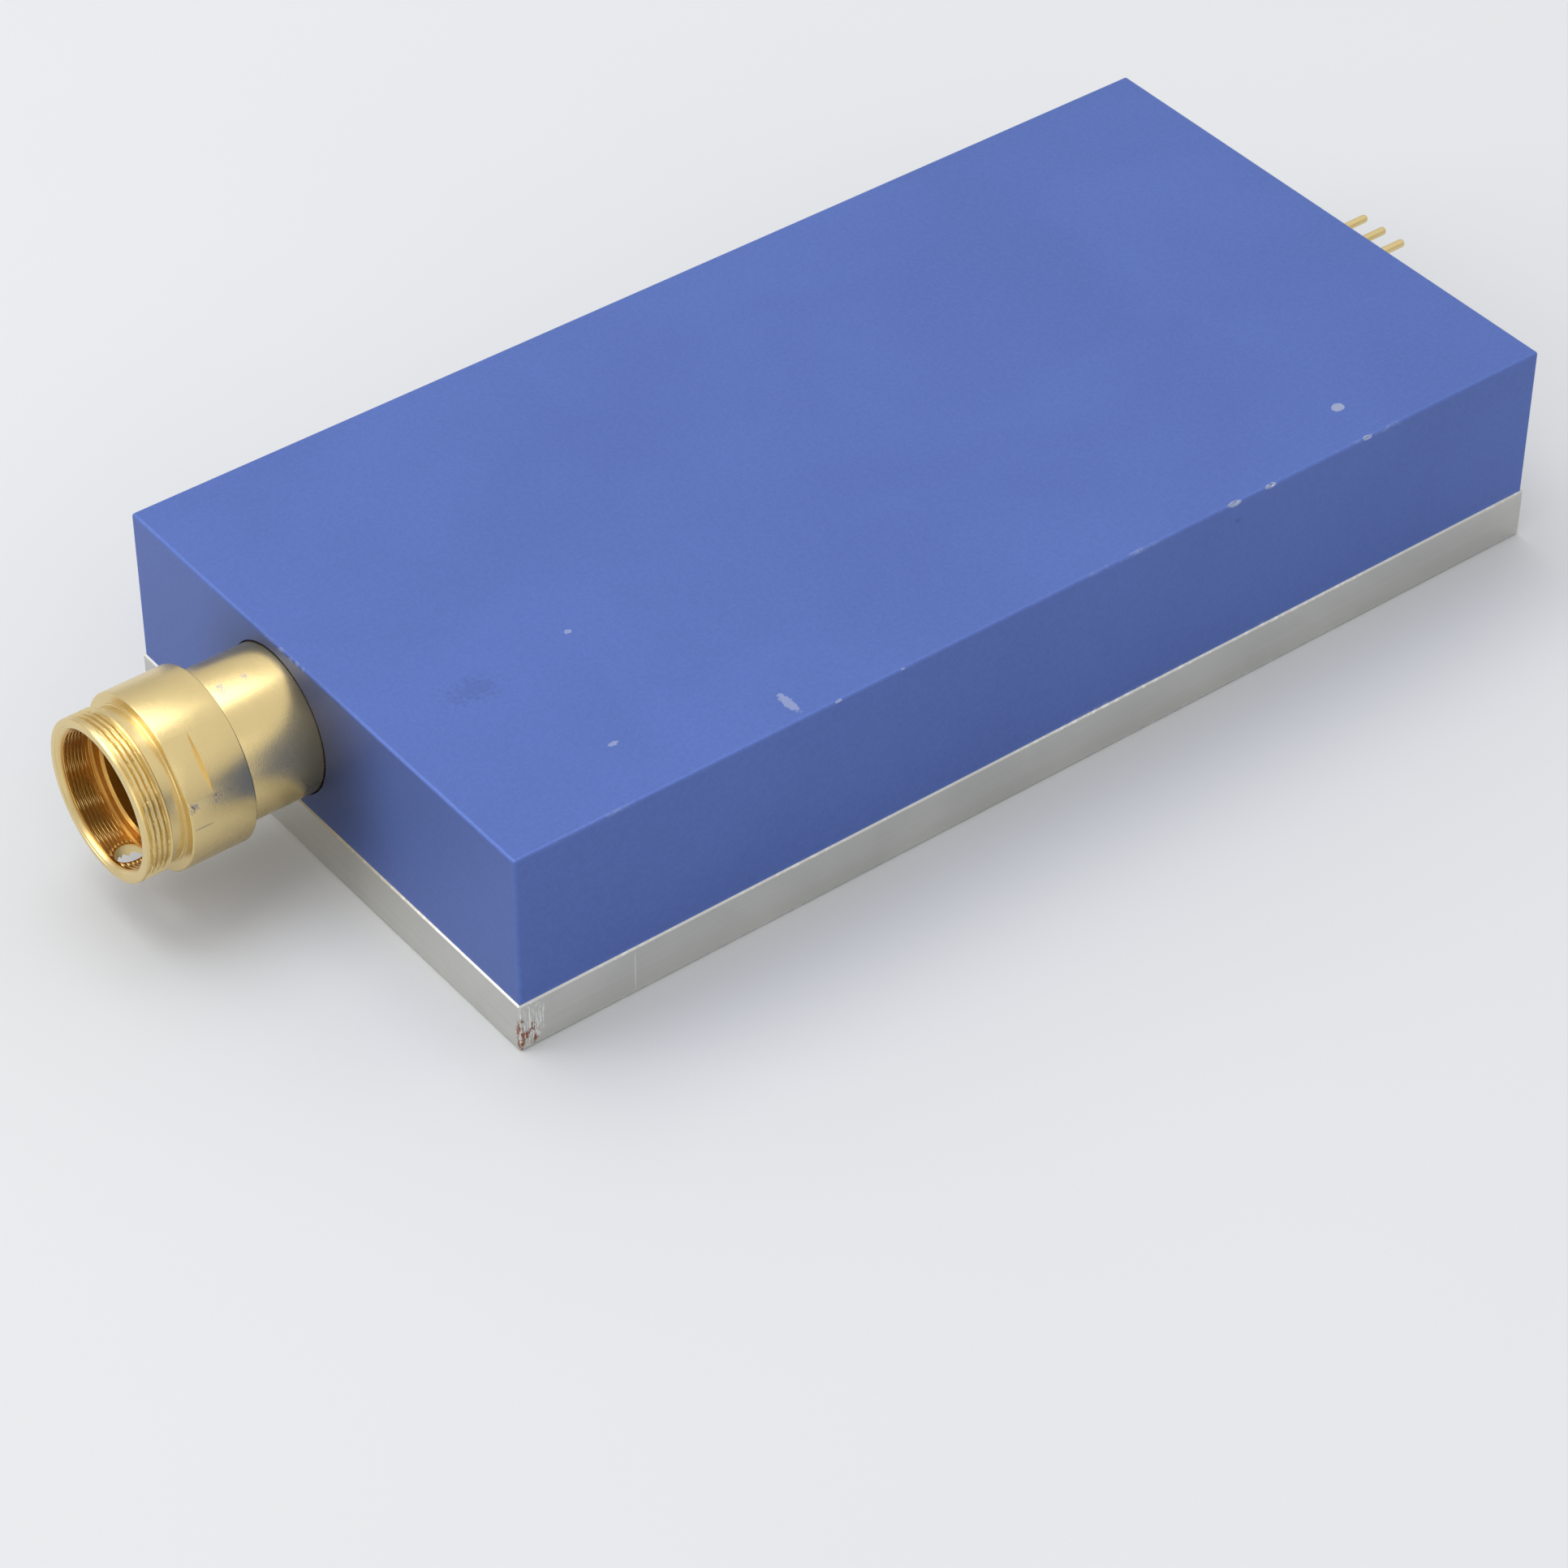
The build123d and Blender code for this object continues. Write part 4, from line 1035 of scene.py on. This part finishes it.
@dataclass
class CoverLid:
    """The anodised lid: hollow, open below, with rounded edges and small knocks."""

    effects: Effects
    lathe: Lathe
    wall: float = 3.0 * MM
    roof: float = 2.6 * MM
    edge_round: float = 0.28 * MM
    barrel_radius: float = 7.12 * MM
    nose_half_height: float = 2.3 * MM
    nose_half_width: float = 10.8 * MM
    nose_gap: float = 0.2 * MM
    window_land: float = 0.1 * MM
    colour: Colour = (0.072, 0.130, 0.405)
    near_knocks_x: tuple[float, ...] = (-23.5, -16.7, 20.0, 24.2, 35.6)
    knock_size: tuple[float, ...] = (0.28, 0.24, 0.50, 0.42, 0.42)
    stone_share: float = 0.75
    stone_scale: Place = (1.8, 0.7, 0.7)
    stone_grain: float = 0.25 * MM
    stone_ragged: float = 0.6

    def __post_init__(self) -> None:
        """Reads the lid's box."""
        self.low, self.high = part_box("cover")

    def build(self) -> bpy.types.Object:
        """Models the lid.

        Returns:
            The lid.
        """
        lid = Hand.block("cover_lid", self.low, self.high)
        Hand.select_faces(lid, DOWN)
        bpy.ops.mesh.inset(thickness=self.wall, depth=0)
        lift = self.high.z - self.low.z - self.roof
        bpy.ops.mesh.extrude_region_move(TRANSFORM_OT_translate={"value": (0, 0, lift)})
        bpy.ops.object.mode_set(mode="OBJECT")
        self.round_edges(lid)
        self.drill_barrel_hole(lid)
        self.cut_header_window(lid)
        self.knock_edges(lid)
        Hand.smooth(lid, 40.0)
        Hand.apply(lid, "WEIGHTED_NORMAL", keep_sharp=True, weight=50)
        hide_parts("cover")
        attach(lid, "module")
        return lid

    def round_edges(self, lid: bpy.types.Object) -> None:
        """Rounds the eight outer edges that show: the top four and the upright four."""
        Hand.hold(lid)
        mesh = lid.data
        for face in mesh.polygons:
            face.select = False
        for vertex in mesh.vertices:
            vertex.select = False
        for edge in mesh.edges:
            ends = [mesh.vertices[index].co for index in edge.vertices]
            edge.select = self.is_outer(ends)
        bpy.ops.object.mode_set(mode="EDIT")
        bpy.ops.mesh.select_mode(type="EDGE")
        bpy.ops.mesh.bevel(offset=self.edge_round, segments=3, profile=0.5, affect="EDGES")
        bpy.ops.object.mode_set(mode="OBJECT")

    def is_outer(self, ends: list[Vector]) -> bool:
        """Whether an edge is an outer one of the box, the bottom rim left out."""
        first, last = ends
        on_x = all(abs(abs(p.x) - self.high.x) < WELD for p in ends)
        on_y = all(abs(abs(p.y) - self.high.y) < WELD for p in ends)
        on_top = all(abs(p.z - self.high.z) < WELD for p in ends)
        upright = abs(first.z - last.z) > WELD
        return (on_top and (on_x or on_y)) or (upright and on_x and on_y)

    def drill_barrel_hole(self, lid: bpy.types.Object) -> None:
        """Opens the front wall for the connector's barrel."""
        centre = self.lathe.point(-self.wall / MM / 2, 0.0)
        turn = UP.rotation_difference(ALONG)
        drill = Hand.rod("barrel_drill", centre, self.barrel_radius, 2 * self.wall, turn, 192)
        Hand.cut(lid, drill)

    def cut_header_window(self, lid: bpy.types.Object) -> None:
        """Opens the rear wall for the pin header's nose."""
        half_height = self.nose_half_height + self.nose_gap
        half_width = self.nose_half_width + self.nose_gap
        low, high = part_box("signal_pins")
        level = (low.z + high.z) / 2
        cutter = Hand.block(
            "window_cutter",
            Vector((self.high.x - 2 * self.wall, -half_width, level - half_height)),
            Vector((self.high.x + self.wall, half_width, level + half_height)))
        Hand.hold(cutter)
        mesh = cutter.data
        for edge in mesh.edges:
            first, last = (mesh.vertices[index].co for index in edge.vertices)
            edge.select = abs(first.x - last.x) > self.wall
        for face in mesh.polygons:
            face.select = False
        bpy.ops.object.mode_set(mode="EDIT")
        bpy.ops.mesh.select_mode(type="EDGE")
        bpy.ops.mesh.bevel(offset=half_height - self.window_land, segments=12, affect="EDGES")
        bpy.ops.object.mode_set(mode="OBJECT")
        Hand.cut(lid, cutter)

    def knock_edges(self, lid: bpy.types.Object) -> None:
        """Takes small ragged chips out of the near top edge."""
        for index, (x, size) in enumerate(zip(self.near_knocks_x, self.knock_size)):
            place = Vector((x * MM, self.low.y, self.high.z))
            radius = size * MM * self.stone_share
            Hand.clear()
            bpy.ops.mesh.primitive_ico_sphere_add(subdivisions=2, radius=radius, location=place)
            stone = bpy.context.object
            stone.scale = self.stone_scale
            Hand.settle(stone)
            for vertex in stone.data.vertices:
                shift = noise.noise(vertex.co / self.stone_grain + Vector((index, 0, 0)))
                vertex.co += (vertex.co - place) * shift * self.stone_ragged
            Hand.cut(lid, stone)

    def dress(self, lid: bpy.types.Object) -> None:
        """Gives the lid its anodised finish, with bare metal at the knocks."""
        centre, half = middle_of(self.low, self.high)
        top, near = self.high.z, self.low.y
        chips = [Mark((x * MM, near, top), metres(size * 1.8, size * 0.75, size * 0.75), 0.35)
                 for x, size in zip(self.near_knocks_x, self.knock_size)]
        chips.append(Mark((36.4 * MM, -23.5 * MM, top), metres(0.75, 0.6, 0.3), 0.25))
        rubs = (
            Mark((-27.0 * MM, -26.0 * MM, top), metres(0.5, 1.6, 0.3), 0.5, 3000.0),
            Mark((-36.0 * MM, -7.5 * MM, top), metres(0.35, 0.35, 0.2), 0.6, 3000.0),
            Mark((-41.5 * MM, -21.4 * MM, top), metres(0.5, 0.3, 0.2), 0.6, 3000.0),
        )
        smudges = (
            Mark((-46.7 * MM, -8.8 * MM, top), metres(2.8, 1.9, 0.4), 1.3, 2600.0, 0.5),
            Mark((20.5 * MM, near, 18.5 * MM), metres(0.35, 0.3, 0.3), 0.2),
        )
        # Painted shade: a broad soft dark patch on the front wall round the connector, standing for the
        # shade that the connector casts.
        around = self.lathe.point(0.0, 0.0) + Vector(metres(0.0, -3.0, 0.0))
        painted_shade = (Mark(tuple(around), metres(0.4, 17.0, 16.0), 0.0, 900.0, 0.5),)
        finish = AnodisedFinish("blue_anodised_aluminium", self.colour, centre, half,
                                tuple(chips), rubs, smudges, painted_shade)
        dress(lid, finish.build(self.effects))


@dataclass
class BarrelPiece:
    """Rear half of the connector, with the thread that the coupling sleeve runs on.

    Sizes are millimetres: distances in front of the cover, and radii.
    """

    effects: Effects
    lathe: Lathe
    radius: float = 7.0
    out: float = 7.4
    nose_radius: float = 6.45
    nose_out: float = 12.6
    thread: HelicalThread = field(default_factory=lambda: HelicalThread(
        start=9.2, end=12.35, crest=6.45, depth=0.24, pitch=0.5))
    bore: float = 4.0
    tail: float = 6.0
    seat: float = 9.0
    counterbore: float = 5.2
    lens_seat: float = 0.65
    lens_bore: float = 4.9
    scuff_angle: float = 98.5

    def build(self) -> bpy.types.Object:
        """Turns the barrel and cuts its thread.

        Returns:
            The barrel.
        """
        tail_out = (self.lathe.face_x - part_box("receptacle_barrel")[1].x) / MM
        shoulder_out = (self.lathe.face_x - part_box("receptacle_mount")[0].x) / MM
        outline = rounded([
            (self.nose_out, self.counterbore, 0.05),
            (self.nose_out, self.nose_radius, 0.15),
            (self.thread.end, self.thread.crest, 0.0),
            (self.thread.start, self.thread.crest, 0.0),
            (self.out, self.nose_radius, 0.08),
            (self.out, self.radius, 0.10),
            (shoulder_out, self.radius, 0.10),
            (shoulder_out, self.tail, 0.10),
            (tail_out, self.tail, 0.20),
            (tail_out, self.lens_bore, 0.10),
            (self.lens_seat, self.lens_bore, 0.0),
            (self.lens_seat, self.bore, 0.05),
            (self.seat, self.bore, 0.10),
            (self.seat, self.counterbore, 0.0),
        ])
        self.thread.lay_rows(outline)
        barrel = self.lathe.turn("barrel", outline)
        self.thread.cut(barrel, self.lathe)
        Hand.smooth(barrel)
        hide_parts("receptacle_barrel")
        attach(barrel, "module")
        return barrel

    def dress(self, barrel: bpy.types.Object) -> None:
        """Gives the barrel satin gold with two scuffs on its upper side."""
        front_scuff = tuple(self.lathe.point(5.9, self.radius, self.scuff_angle))
        rear_scuff = tuple(self.lathe.point(3.5, self.radius, self.scuff_angle))
        scuffs = (
            Mark(front_scuff, metres(0.40, 0.8, 0.4), 0.9, 3500.0),
            Mark(rear_scuff, metres(0.25, 0.4, 0.4), 0.9, 3500.0),
        )
        axis = (self.lathe.axis_y, self.lathe.axis_z)
        dress(barrel, GoldFinish("gold_plated_barrel", axis, scuffs).build(self.effects))


@dataclass
class SleevePiece:
    """Front half of the connector: outer and inner threads, two wrench flats, a key hole.

    Sizes are millimetres: distances in front of the cover, and radii. Angles are degrees
    from +Y towards +Z.
    """

    effects: Effects
    lathe: Lathe
    rear: float = 7.46
    radius: float = 8.15
    face_out: float = 13.73
    face_break: float = 0.11
    ring_radius: float = 7.2
    ring_out: float = 13.95
    ring_break: float = 0.04
    neck_radius: float = 7.1
    neck_out: float = 15.1
    front: float = 17.8
    lip_radius: float = 7.46
    lip_step: float = 0.06
    lip_width: float = 0.22
    mouth_radius: float = 6.65
    shoulder: float = 14.5
    relief: float = 0.15
    relief_run: float = 0.04
    port_radius: float = 5.0
    port_lead: float = 0.3
    socket_end: float = 12.8
    socket_radius: float = 6.5
    groove_radius: float = 7.25
    groove_out: tuple[float, float] = (8.1, 8.9)
    flat_distance: float = 7.68
    flat_start: float = 11.2
    flat_angle: float = 140.0
    flat_cut: float = 4.0
    key_radius: float = 1.3
    key_out: float = 15.87
    key_angle: float = -97.0
    key_depth: float = 6.0
    key_margin: float = 0.1
    bore_margin: float = 0.1
    outer: HelicalThread = field(default_factory=lambda: HelicalThread(
        start=15.33, end=17.5, crest=7.5, depth=0.26, pitch=0.5, land=0.10, root_share=2.0,
        nicks=0.20, lead=0.08, rows_per_turn=18))
    inner: HelicalThread = field(default_factory=lambda: HelicalThread(
        start=17.4, end=14.75, crest=6.3, depth=0.20, pitch=0.35, wall=Wall.INNER))

    def outline(self) -> Outline:
        """The section of the sleeve.

        Returns:
            Points round the section, in millimetres.
        """
        outer, inner = self.outer, self.inner
        groove_rear, groove_front = self.groove_out
        relief_radius = inner.crest + self.relief
        relief_end = inner.end - self.relief_run
        points = rounded([
            (self.rear, self.socket_radius, 0.10),
            (self.rear, self.radius, 0.14),
            (self.face_out - self.face_break, self.radius, 0.05),
            (self.face_out, self.radius - self.face_break, 0.05),
            (self.face_out, self.ring_radius, 0.05),
            (self.ring_out - self.ring_break, self.ring_radius, 0.04),
            (self.ring_out, self.neck_radius - 0.03, 0.03),
            (self.ring_out + 2 * self.ring_break, self.neck_radius, 0.03),
            (self.neck_out, self.neck_radius, 0.10),
            (outer.start, outer.crest, 0.0),
            (outer.end, outer.crest, 0.0),
            (self.front, self.lip_radius, 0.17),
            (self.front, self.mouth_radius + self.lip_width, 0.02),
            (self.front - self.lip_step, self.mouth_radius + self.lip_width - 0.04, 0.02),
            (self.front - self.lip_step, self.mouth_radius, 0.10),
            (inner.start, inner.crest, 0.0),
            (inner.end, inner.crest, 0.0),
            (relief_end, relief_radius, 0.0),
            (self.shoulder, relief_radius, 0.0),
            (self.shoulder, self.port_radius + self.port_lead / 2, 0.05),
            (self.shoulder - self.port_lead, self.port_radius, 0.05),
            (self.socket_end, self.port_radius, 0.0),
            (self.socket_end, self.socket_radius, 0.0),
            (groove_front, self.socket_radius, 0.0),
            (groove_front, self.groove_radius, 0.0),
            (groove_rear, self.groove_radius, 0.0),
            (groove_rear, self.socket_radius, 0.0),
        ])
        outer.lay_rows(points)
        inner.lay_rows(points)
        return points

    def build(self) -> bpy.types.Object:
        """Turns the sleeve, mills its flats, drills the key hole and cuts both threads.

        Returns:
            The sleeve.
        """
        sleeve = self.lathe.turn("sleeve", self.outline())
        for side in (0.0, 180.0):
            Hand.cut(sleeve, self.flat_cutter(self.flat_angle + side))
        spot = self.lathe.point(self.key_out, self.inner.crest, self.key_angle)
        self.inner.plain_spot = (spot, (self.key_radius + self.key_margin) * MM)
        self.outer.cut(sleeve, self.lathe)
        self.inner.cut(sleeve, self.lathe)
        Hand.cut(sleeve, self.key_drill())
        Hand.smooth(sleeve)
        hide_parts("coupling_sleeve")
        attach(sleeve, "sleeve")
        return sleeve

    def flat_cutter(self, degrees: float) -> bpy.types.Object:
        """A block that mills one wrench flat.

        Args:
            degrees: where the flat looks, from +Y towards +Z.

        Returns:
            The cutter.
        """
        middle = self.lathe.point((self.flat_start + self.ring_out) / 2,
                                  self.flat_distance + self.flat_cut / 2, degrees)
        length = self.ring_out - self.flat_start
        Hand.clear()
        bpy.ops.mesh.primitive_cube_add(size=1.0, location=middle,
                                        rotation=(math.radians(degrees), 0, 0))
        cutter = bpy.context.object
        cutter.scale = metres(length, self.flat_cut, 2 * self.radius)
        Hand.settle(cutter)
        return cutter

    def key_drill(self) -> bpy.types.Object:
        """The drill of the small hole in the thread's wall."""
        centre = self.lathe.point(self.key_out, self.radius, self.key_angle)
        spoke = (centre - self.lathe.point(self.key_out, 0.0)).normalized()
        turn = UP.rotation_difference(spoke)
        return Hand.rod("key_drill", centre, self.key_radius * MM, self.key_depth * MM, turn, 48)

    def dress(self, sleeve: bpy.types.Object) -> None:
        """Gives the sleeve satin gold, with rubbed spots beside the flat, a hair scratch and painted shade
        inside its bore.
        """
        rear_scuff = tuple(self.lathe.point(10.9, self.radius, 164.0))
        front_scuff = tuple(self.lathe.point(13.2, self.radius, 164.0))
        hair = tuple(self.lathe.point(12.6, self.radius, 178.6))
        scuffs = (
            Mark(rear_scuff, metres(0.40, 0.5, 0.55), 0.8, 3500.0),
            Mark(front_scuff, metres(0.50, 0.5, 0.60), 0.8, 3500.0),
        )
        scratches = (Mark(hair, metres(1.0, 0.4, 0.045), 0.1),)
        axis = (self.lathe.axis_y, self.lathe.axis_z)
        # Inside this radius the gold takes painted shade and painted reflected gold light.
        bore_radius = (self.inner.crest + self.bore_margin) * MM
        finish = GoldFinish("gold_plated_sleeve", axis, scuffs, scratches, bore_radius=bore_radius)
        dress(sleeve, finish.build(self.effects))


@dataclass
class CarriedParts:
    """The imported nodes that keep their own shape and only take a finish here."""

    effects: Effects

    def dress(self) -> None:
        """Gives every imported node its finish."""
        self.dress_base()
        gold = GoldFinish("gold_plated_pins", (0.0, 0.0), roughness=0.25).build(self.effects)
        steel = PlainMetalFinish("stainless_screws", (0.60, 0.60, 0.61)).build(self.effects)
        alloy = PlainMetalFinish("machined_alloy", (0.66, 0.66, 0.64), 0.38).build(self.effects)
        copper = PlainMetalFinish("flashed_copper", (0.83, 0.50, 0.33), 0.30).build(self.effects)
        mirror = PlainMetalFinish("mirror_coating", (0.86, 0.84, 0.82), 0.12, 2000.0).build(self.effects)
        rubber = MouldedFinish("seal_rubber", (0.018, 0.018, 0.019), 0.62).build(self.effects)
        plastic = MouldedFinish("header_moulding", (0.030, 0.030, 0.033), 0.45).build(self.effects)
        ceramic = MouldedFinish("fired_ceramic", (0.80, 0.78, 0.73), 0.35, 6000.0, 0.1).build(self.effects)
        chip = MouldedFinish("polished_chip", (0.05, 0.05, 0.07), 0.2, 6000.0, 0.05).build(self.effects)
        glass = GlassFinish("coated_glass").build(self.effects)
        finishes = {
            gold: ("signal_pins", "power_pins", "window_retaining_ring", "jumper_ribbons",
                   "coupling_sleeve", "receptacle_barrel"),
            steel: ("cover_screws", "bench_screws", "header_screws", "receptacle_mount_screws",
                    "locating_dowels"),
            alloy: ("receptacle_mount", "receptacle_locknut", "lens_retaining_ring", "cover"),
            copper: ("stepped_bench", "supply_bus_bar", "return_bus_bar"),
            mirror: ("turning_mirrors",),
            rubber: ("cover_gasket", "barrel_seal_ring", "sleeve_seal_ring"),
            plastic: ("pin_header", "monitor_photodiode"),
            ceramic: ("chip_submounts", "sensor_board"),
            chip: ("laser_chips", "thermistor"),
            glass: ("protective_window", "focusing_lens", "fast_axis_lenses", "slow_axis_lenses"),
        }
        for material, names in finishes.items():
            for name in names:
                dress(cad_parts[name], material)

    def dress_base(self) -> None:
        """Gives the base plate worn nickel, with copper at its knocked near corner."""
        low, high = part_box("base_plate")
        centre, half = middle_of(low, high)
        beside = low.x + 1.2 * MM
        bared = (
            Mark((low.x, low.y, 1.6 * MM), metres(0.55, 0.6, 2.1), 0.5, 1800.0),
            Mark((beside, low.y, 1.5 * MM), metres(0.75, 0.4, 1.2), 0.8, 1800.0),
        )
        knocks = (Mark((beside, low.y, 2.5 * MM), metres(1.7, 0.5, 2.3), 0.6, 1500.0),)
        lines = (Mark((-44.8 * MM, low.y, 2.5 * MM), metres(0.05, 0.3, 2.4), 0.05),)
        finish = NickelFinish("nickel_plated_copper", centre, half, bared, knocks, lines)
        dress(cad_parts["base_plate"], finish.build(self.effects))


# ------------------------------------------------------------------ studio
@dataclass(frozen=True)
class Softbox:
    """A square lamp that looks at the object: its place and side in metres, and its watts."""

    name: str
    place: Place
    side: float
    power: float

    def hang(self) -> None:
        """Adds the lamp."""
        lamp = bpy.data.lights.new(self.name, "AREA")
        lamp.shape = "SQUARE"
        lamp.size = self.side
        lamp.energy = self.power
        holder = bpy.data.objects.new(self.name, lamp)
        bpy.context.scene.collection.objects.link(holder)
        holder.location = self.place
        holder.rotation_mode = "QUATERNION"
        holder.rotation_quaternion = (-Vector(self.place)).to_track_quat("-Z", "Y")


@dataclass
class Studio:
    """Camera, floor, lamps and surroundings."""

    azimuth: float = -37.99
    elevation: float = 41.02
    roll: float = 0.35
    distance: float = 0.4345
    aim: Place = (-18.94 * MM, -15.17 * MM, 0.0)
    lens: float = 114.75
    sensor: float = 36.0
    clip_start: float = 0.01
    floor_colour: Colour = (0.615, 0.625, 0.635)
    floor_size: float = 3.0
    floor_level: float = -0.05 * MM
    room_tint: Colour = (0.985, 0.99, 1.0)
    room_level: float = 0.66
    overhead_level: float = 0.22
    near_dimming: float = 0.85
    lamps: tuple[Softbox, ...] = (
        Softbox("overhead_softbox", (-0.10, 0.25, 0.85), 0.7, 3.7),
        Softbox("near_fill", (-0.25, -0.85, 0.30), 0.8, 1.1),
        Softbox("left_softbox", (-0.75, 0.35, 0.45), 0.5, 1.7),
    )

    def build(self) -> None:
        """Sets up everything that isn't the object."""
        self.place_camera()
        self.lay_floor()
        self.surround()
        for lamp in self.lamps:
            lamp.hang()
        bpy.context.scene.view_settings.view_transform = "Standard"

    def place_camera(self) -> None:
        """Adds the camera on its sight line."""
        turn, rise = math.radians(self.azimuth), math.radians(self.elevation)
        level_back = Vector((math.sin(turn), -math.cos(turn), 0.0))
        back = level_back * math.cos(rise) + UP * math.sin(rise)
        camera = bpy.data.objects.new("camera", bpy.data.cameras.new("camera"))
        bpy.context.scene.collection.objects.link(camera)
        camera.data.lens = self.lens
        camera.data.sensor_width = self.sensor
        camera.data.clip_start = self.clip_start
        camera.location = Vector(self.aim) + back * self.distance
        camera.rotation_mode = "QUATERNION"
        level = (-back).to_track_quat("-Z", "Y")
        camera.rotation_quaternion = level @ Quaternion((0, 0, 1), math.radians(self.roll))
        bpy.context.scene.camera = camera

    def lay_floor(self) -> None:
        """Adds the pale floor."""
        Hand.clear()
        bpy.ops.mesh.primitive_plane_add(size=self.floor_size, location=(0, 0, self.floor_level))
        floor = bpy.context.object
        floor.name = "floor"
        material, graph, shader, coordinate = Finish.begin("pale_floor")
        cloud = graph.noise(coordinate, 9.0, 3.0, 0.5)
        tone = graph.blend(graph.ease(cloud, 0.3, 0.7), self.floor_colour,
                           shade(self.floor_colour, 0.985))
        graph.feed(shader.inputs["Base Color"], tone)
        shader.inputs["Roughness"].default_value = 0.75
        dress(floor, material)

    def surround(self) -> None:
        """Makes a bright room that is dimmer low down on the camera's side."""
        world = bpy.data.worlds.new("studio")
        bpy.context.scene.world = world
        world.use_nodes = True
        graph = ShaderGraph(world.node_tree)
        world.node_tree.nodes.clear()
        output = graph.add("ShaderNodeOutputWorld")
        background = graph.add("ShaderNodeBackground")
        graph.feed(output.inputs["Surface"], background.outputs[0])
        direction = graph.add("ShaderNodeTexCoord").outputs["Generated"]
        _, y, z = graph.parts(direction)
        overhead = graph.ease(z, 0.15, 0.75)
        height = graph.math("ABSOLUTE", graph.math("SUBTRACT", z, 0.05))
        low_band = graph.ease(height, 0.10, 0.38, 1.0, 0.0)
        near_side = graph.ease(graph.times(y, -1.0), 0.2, 0.8)
        dim = graph.times(low_band, near_side)
        level = graph.ramp(overhead, self.overhead_level, self.room_level)
        level = graph.times(level, graph.ease(dim, 0.0, 1.0, 1.0, self.near_dimming))
        graph.feed(background.inputs["Color"], (*self.room_tint, 1.0))
        graph.feed(background.inputs["Strength"], level)


def optical_lathe() -> Lathe:
    """A lathe on the connector's axis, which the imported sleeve's box gives.

    Returns:
        The lathe.
    """
    low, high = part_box("coupling_sleeve")
    return Lathe(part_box("cover")[0].x, (low.y + high.y) / 2, (low.z + high.z) / 2)


def main() -> None:
    """Builds the studio and every piece, in order."""
    logging.basicConfig(level=logging.INFO, format="%(name)s: %(message)s")
    Hand.clear()
    effects = Effects()
    Studio().build()
    lathe = optical_lathe()
    CarriedParts(effects).dress()
    for maker in (CoverLid(effects, lathe), BarrelPiece(effects, lathe), SleevePiece(effects, lathe)):
        piece = maker.build()
        maker.dress(piece)
        LOG.info("%s: %d faces", piece.name, len(piece.data.polygons))


if __name__ == "__main__":
    main()
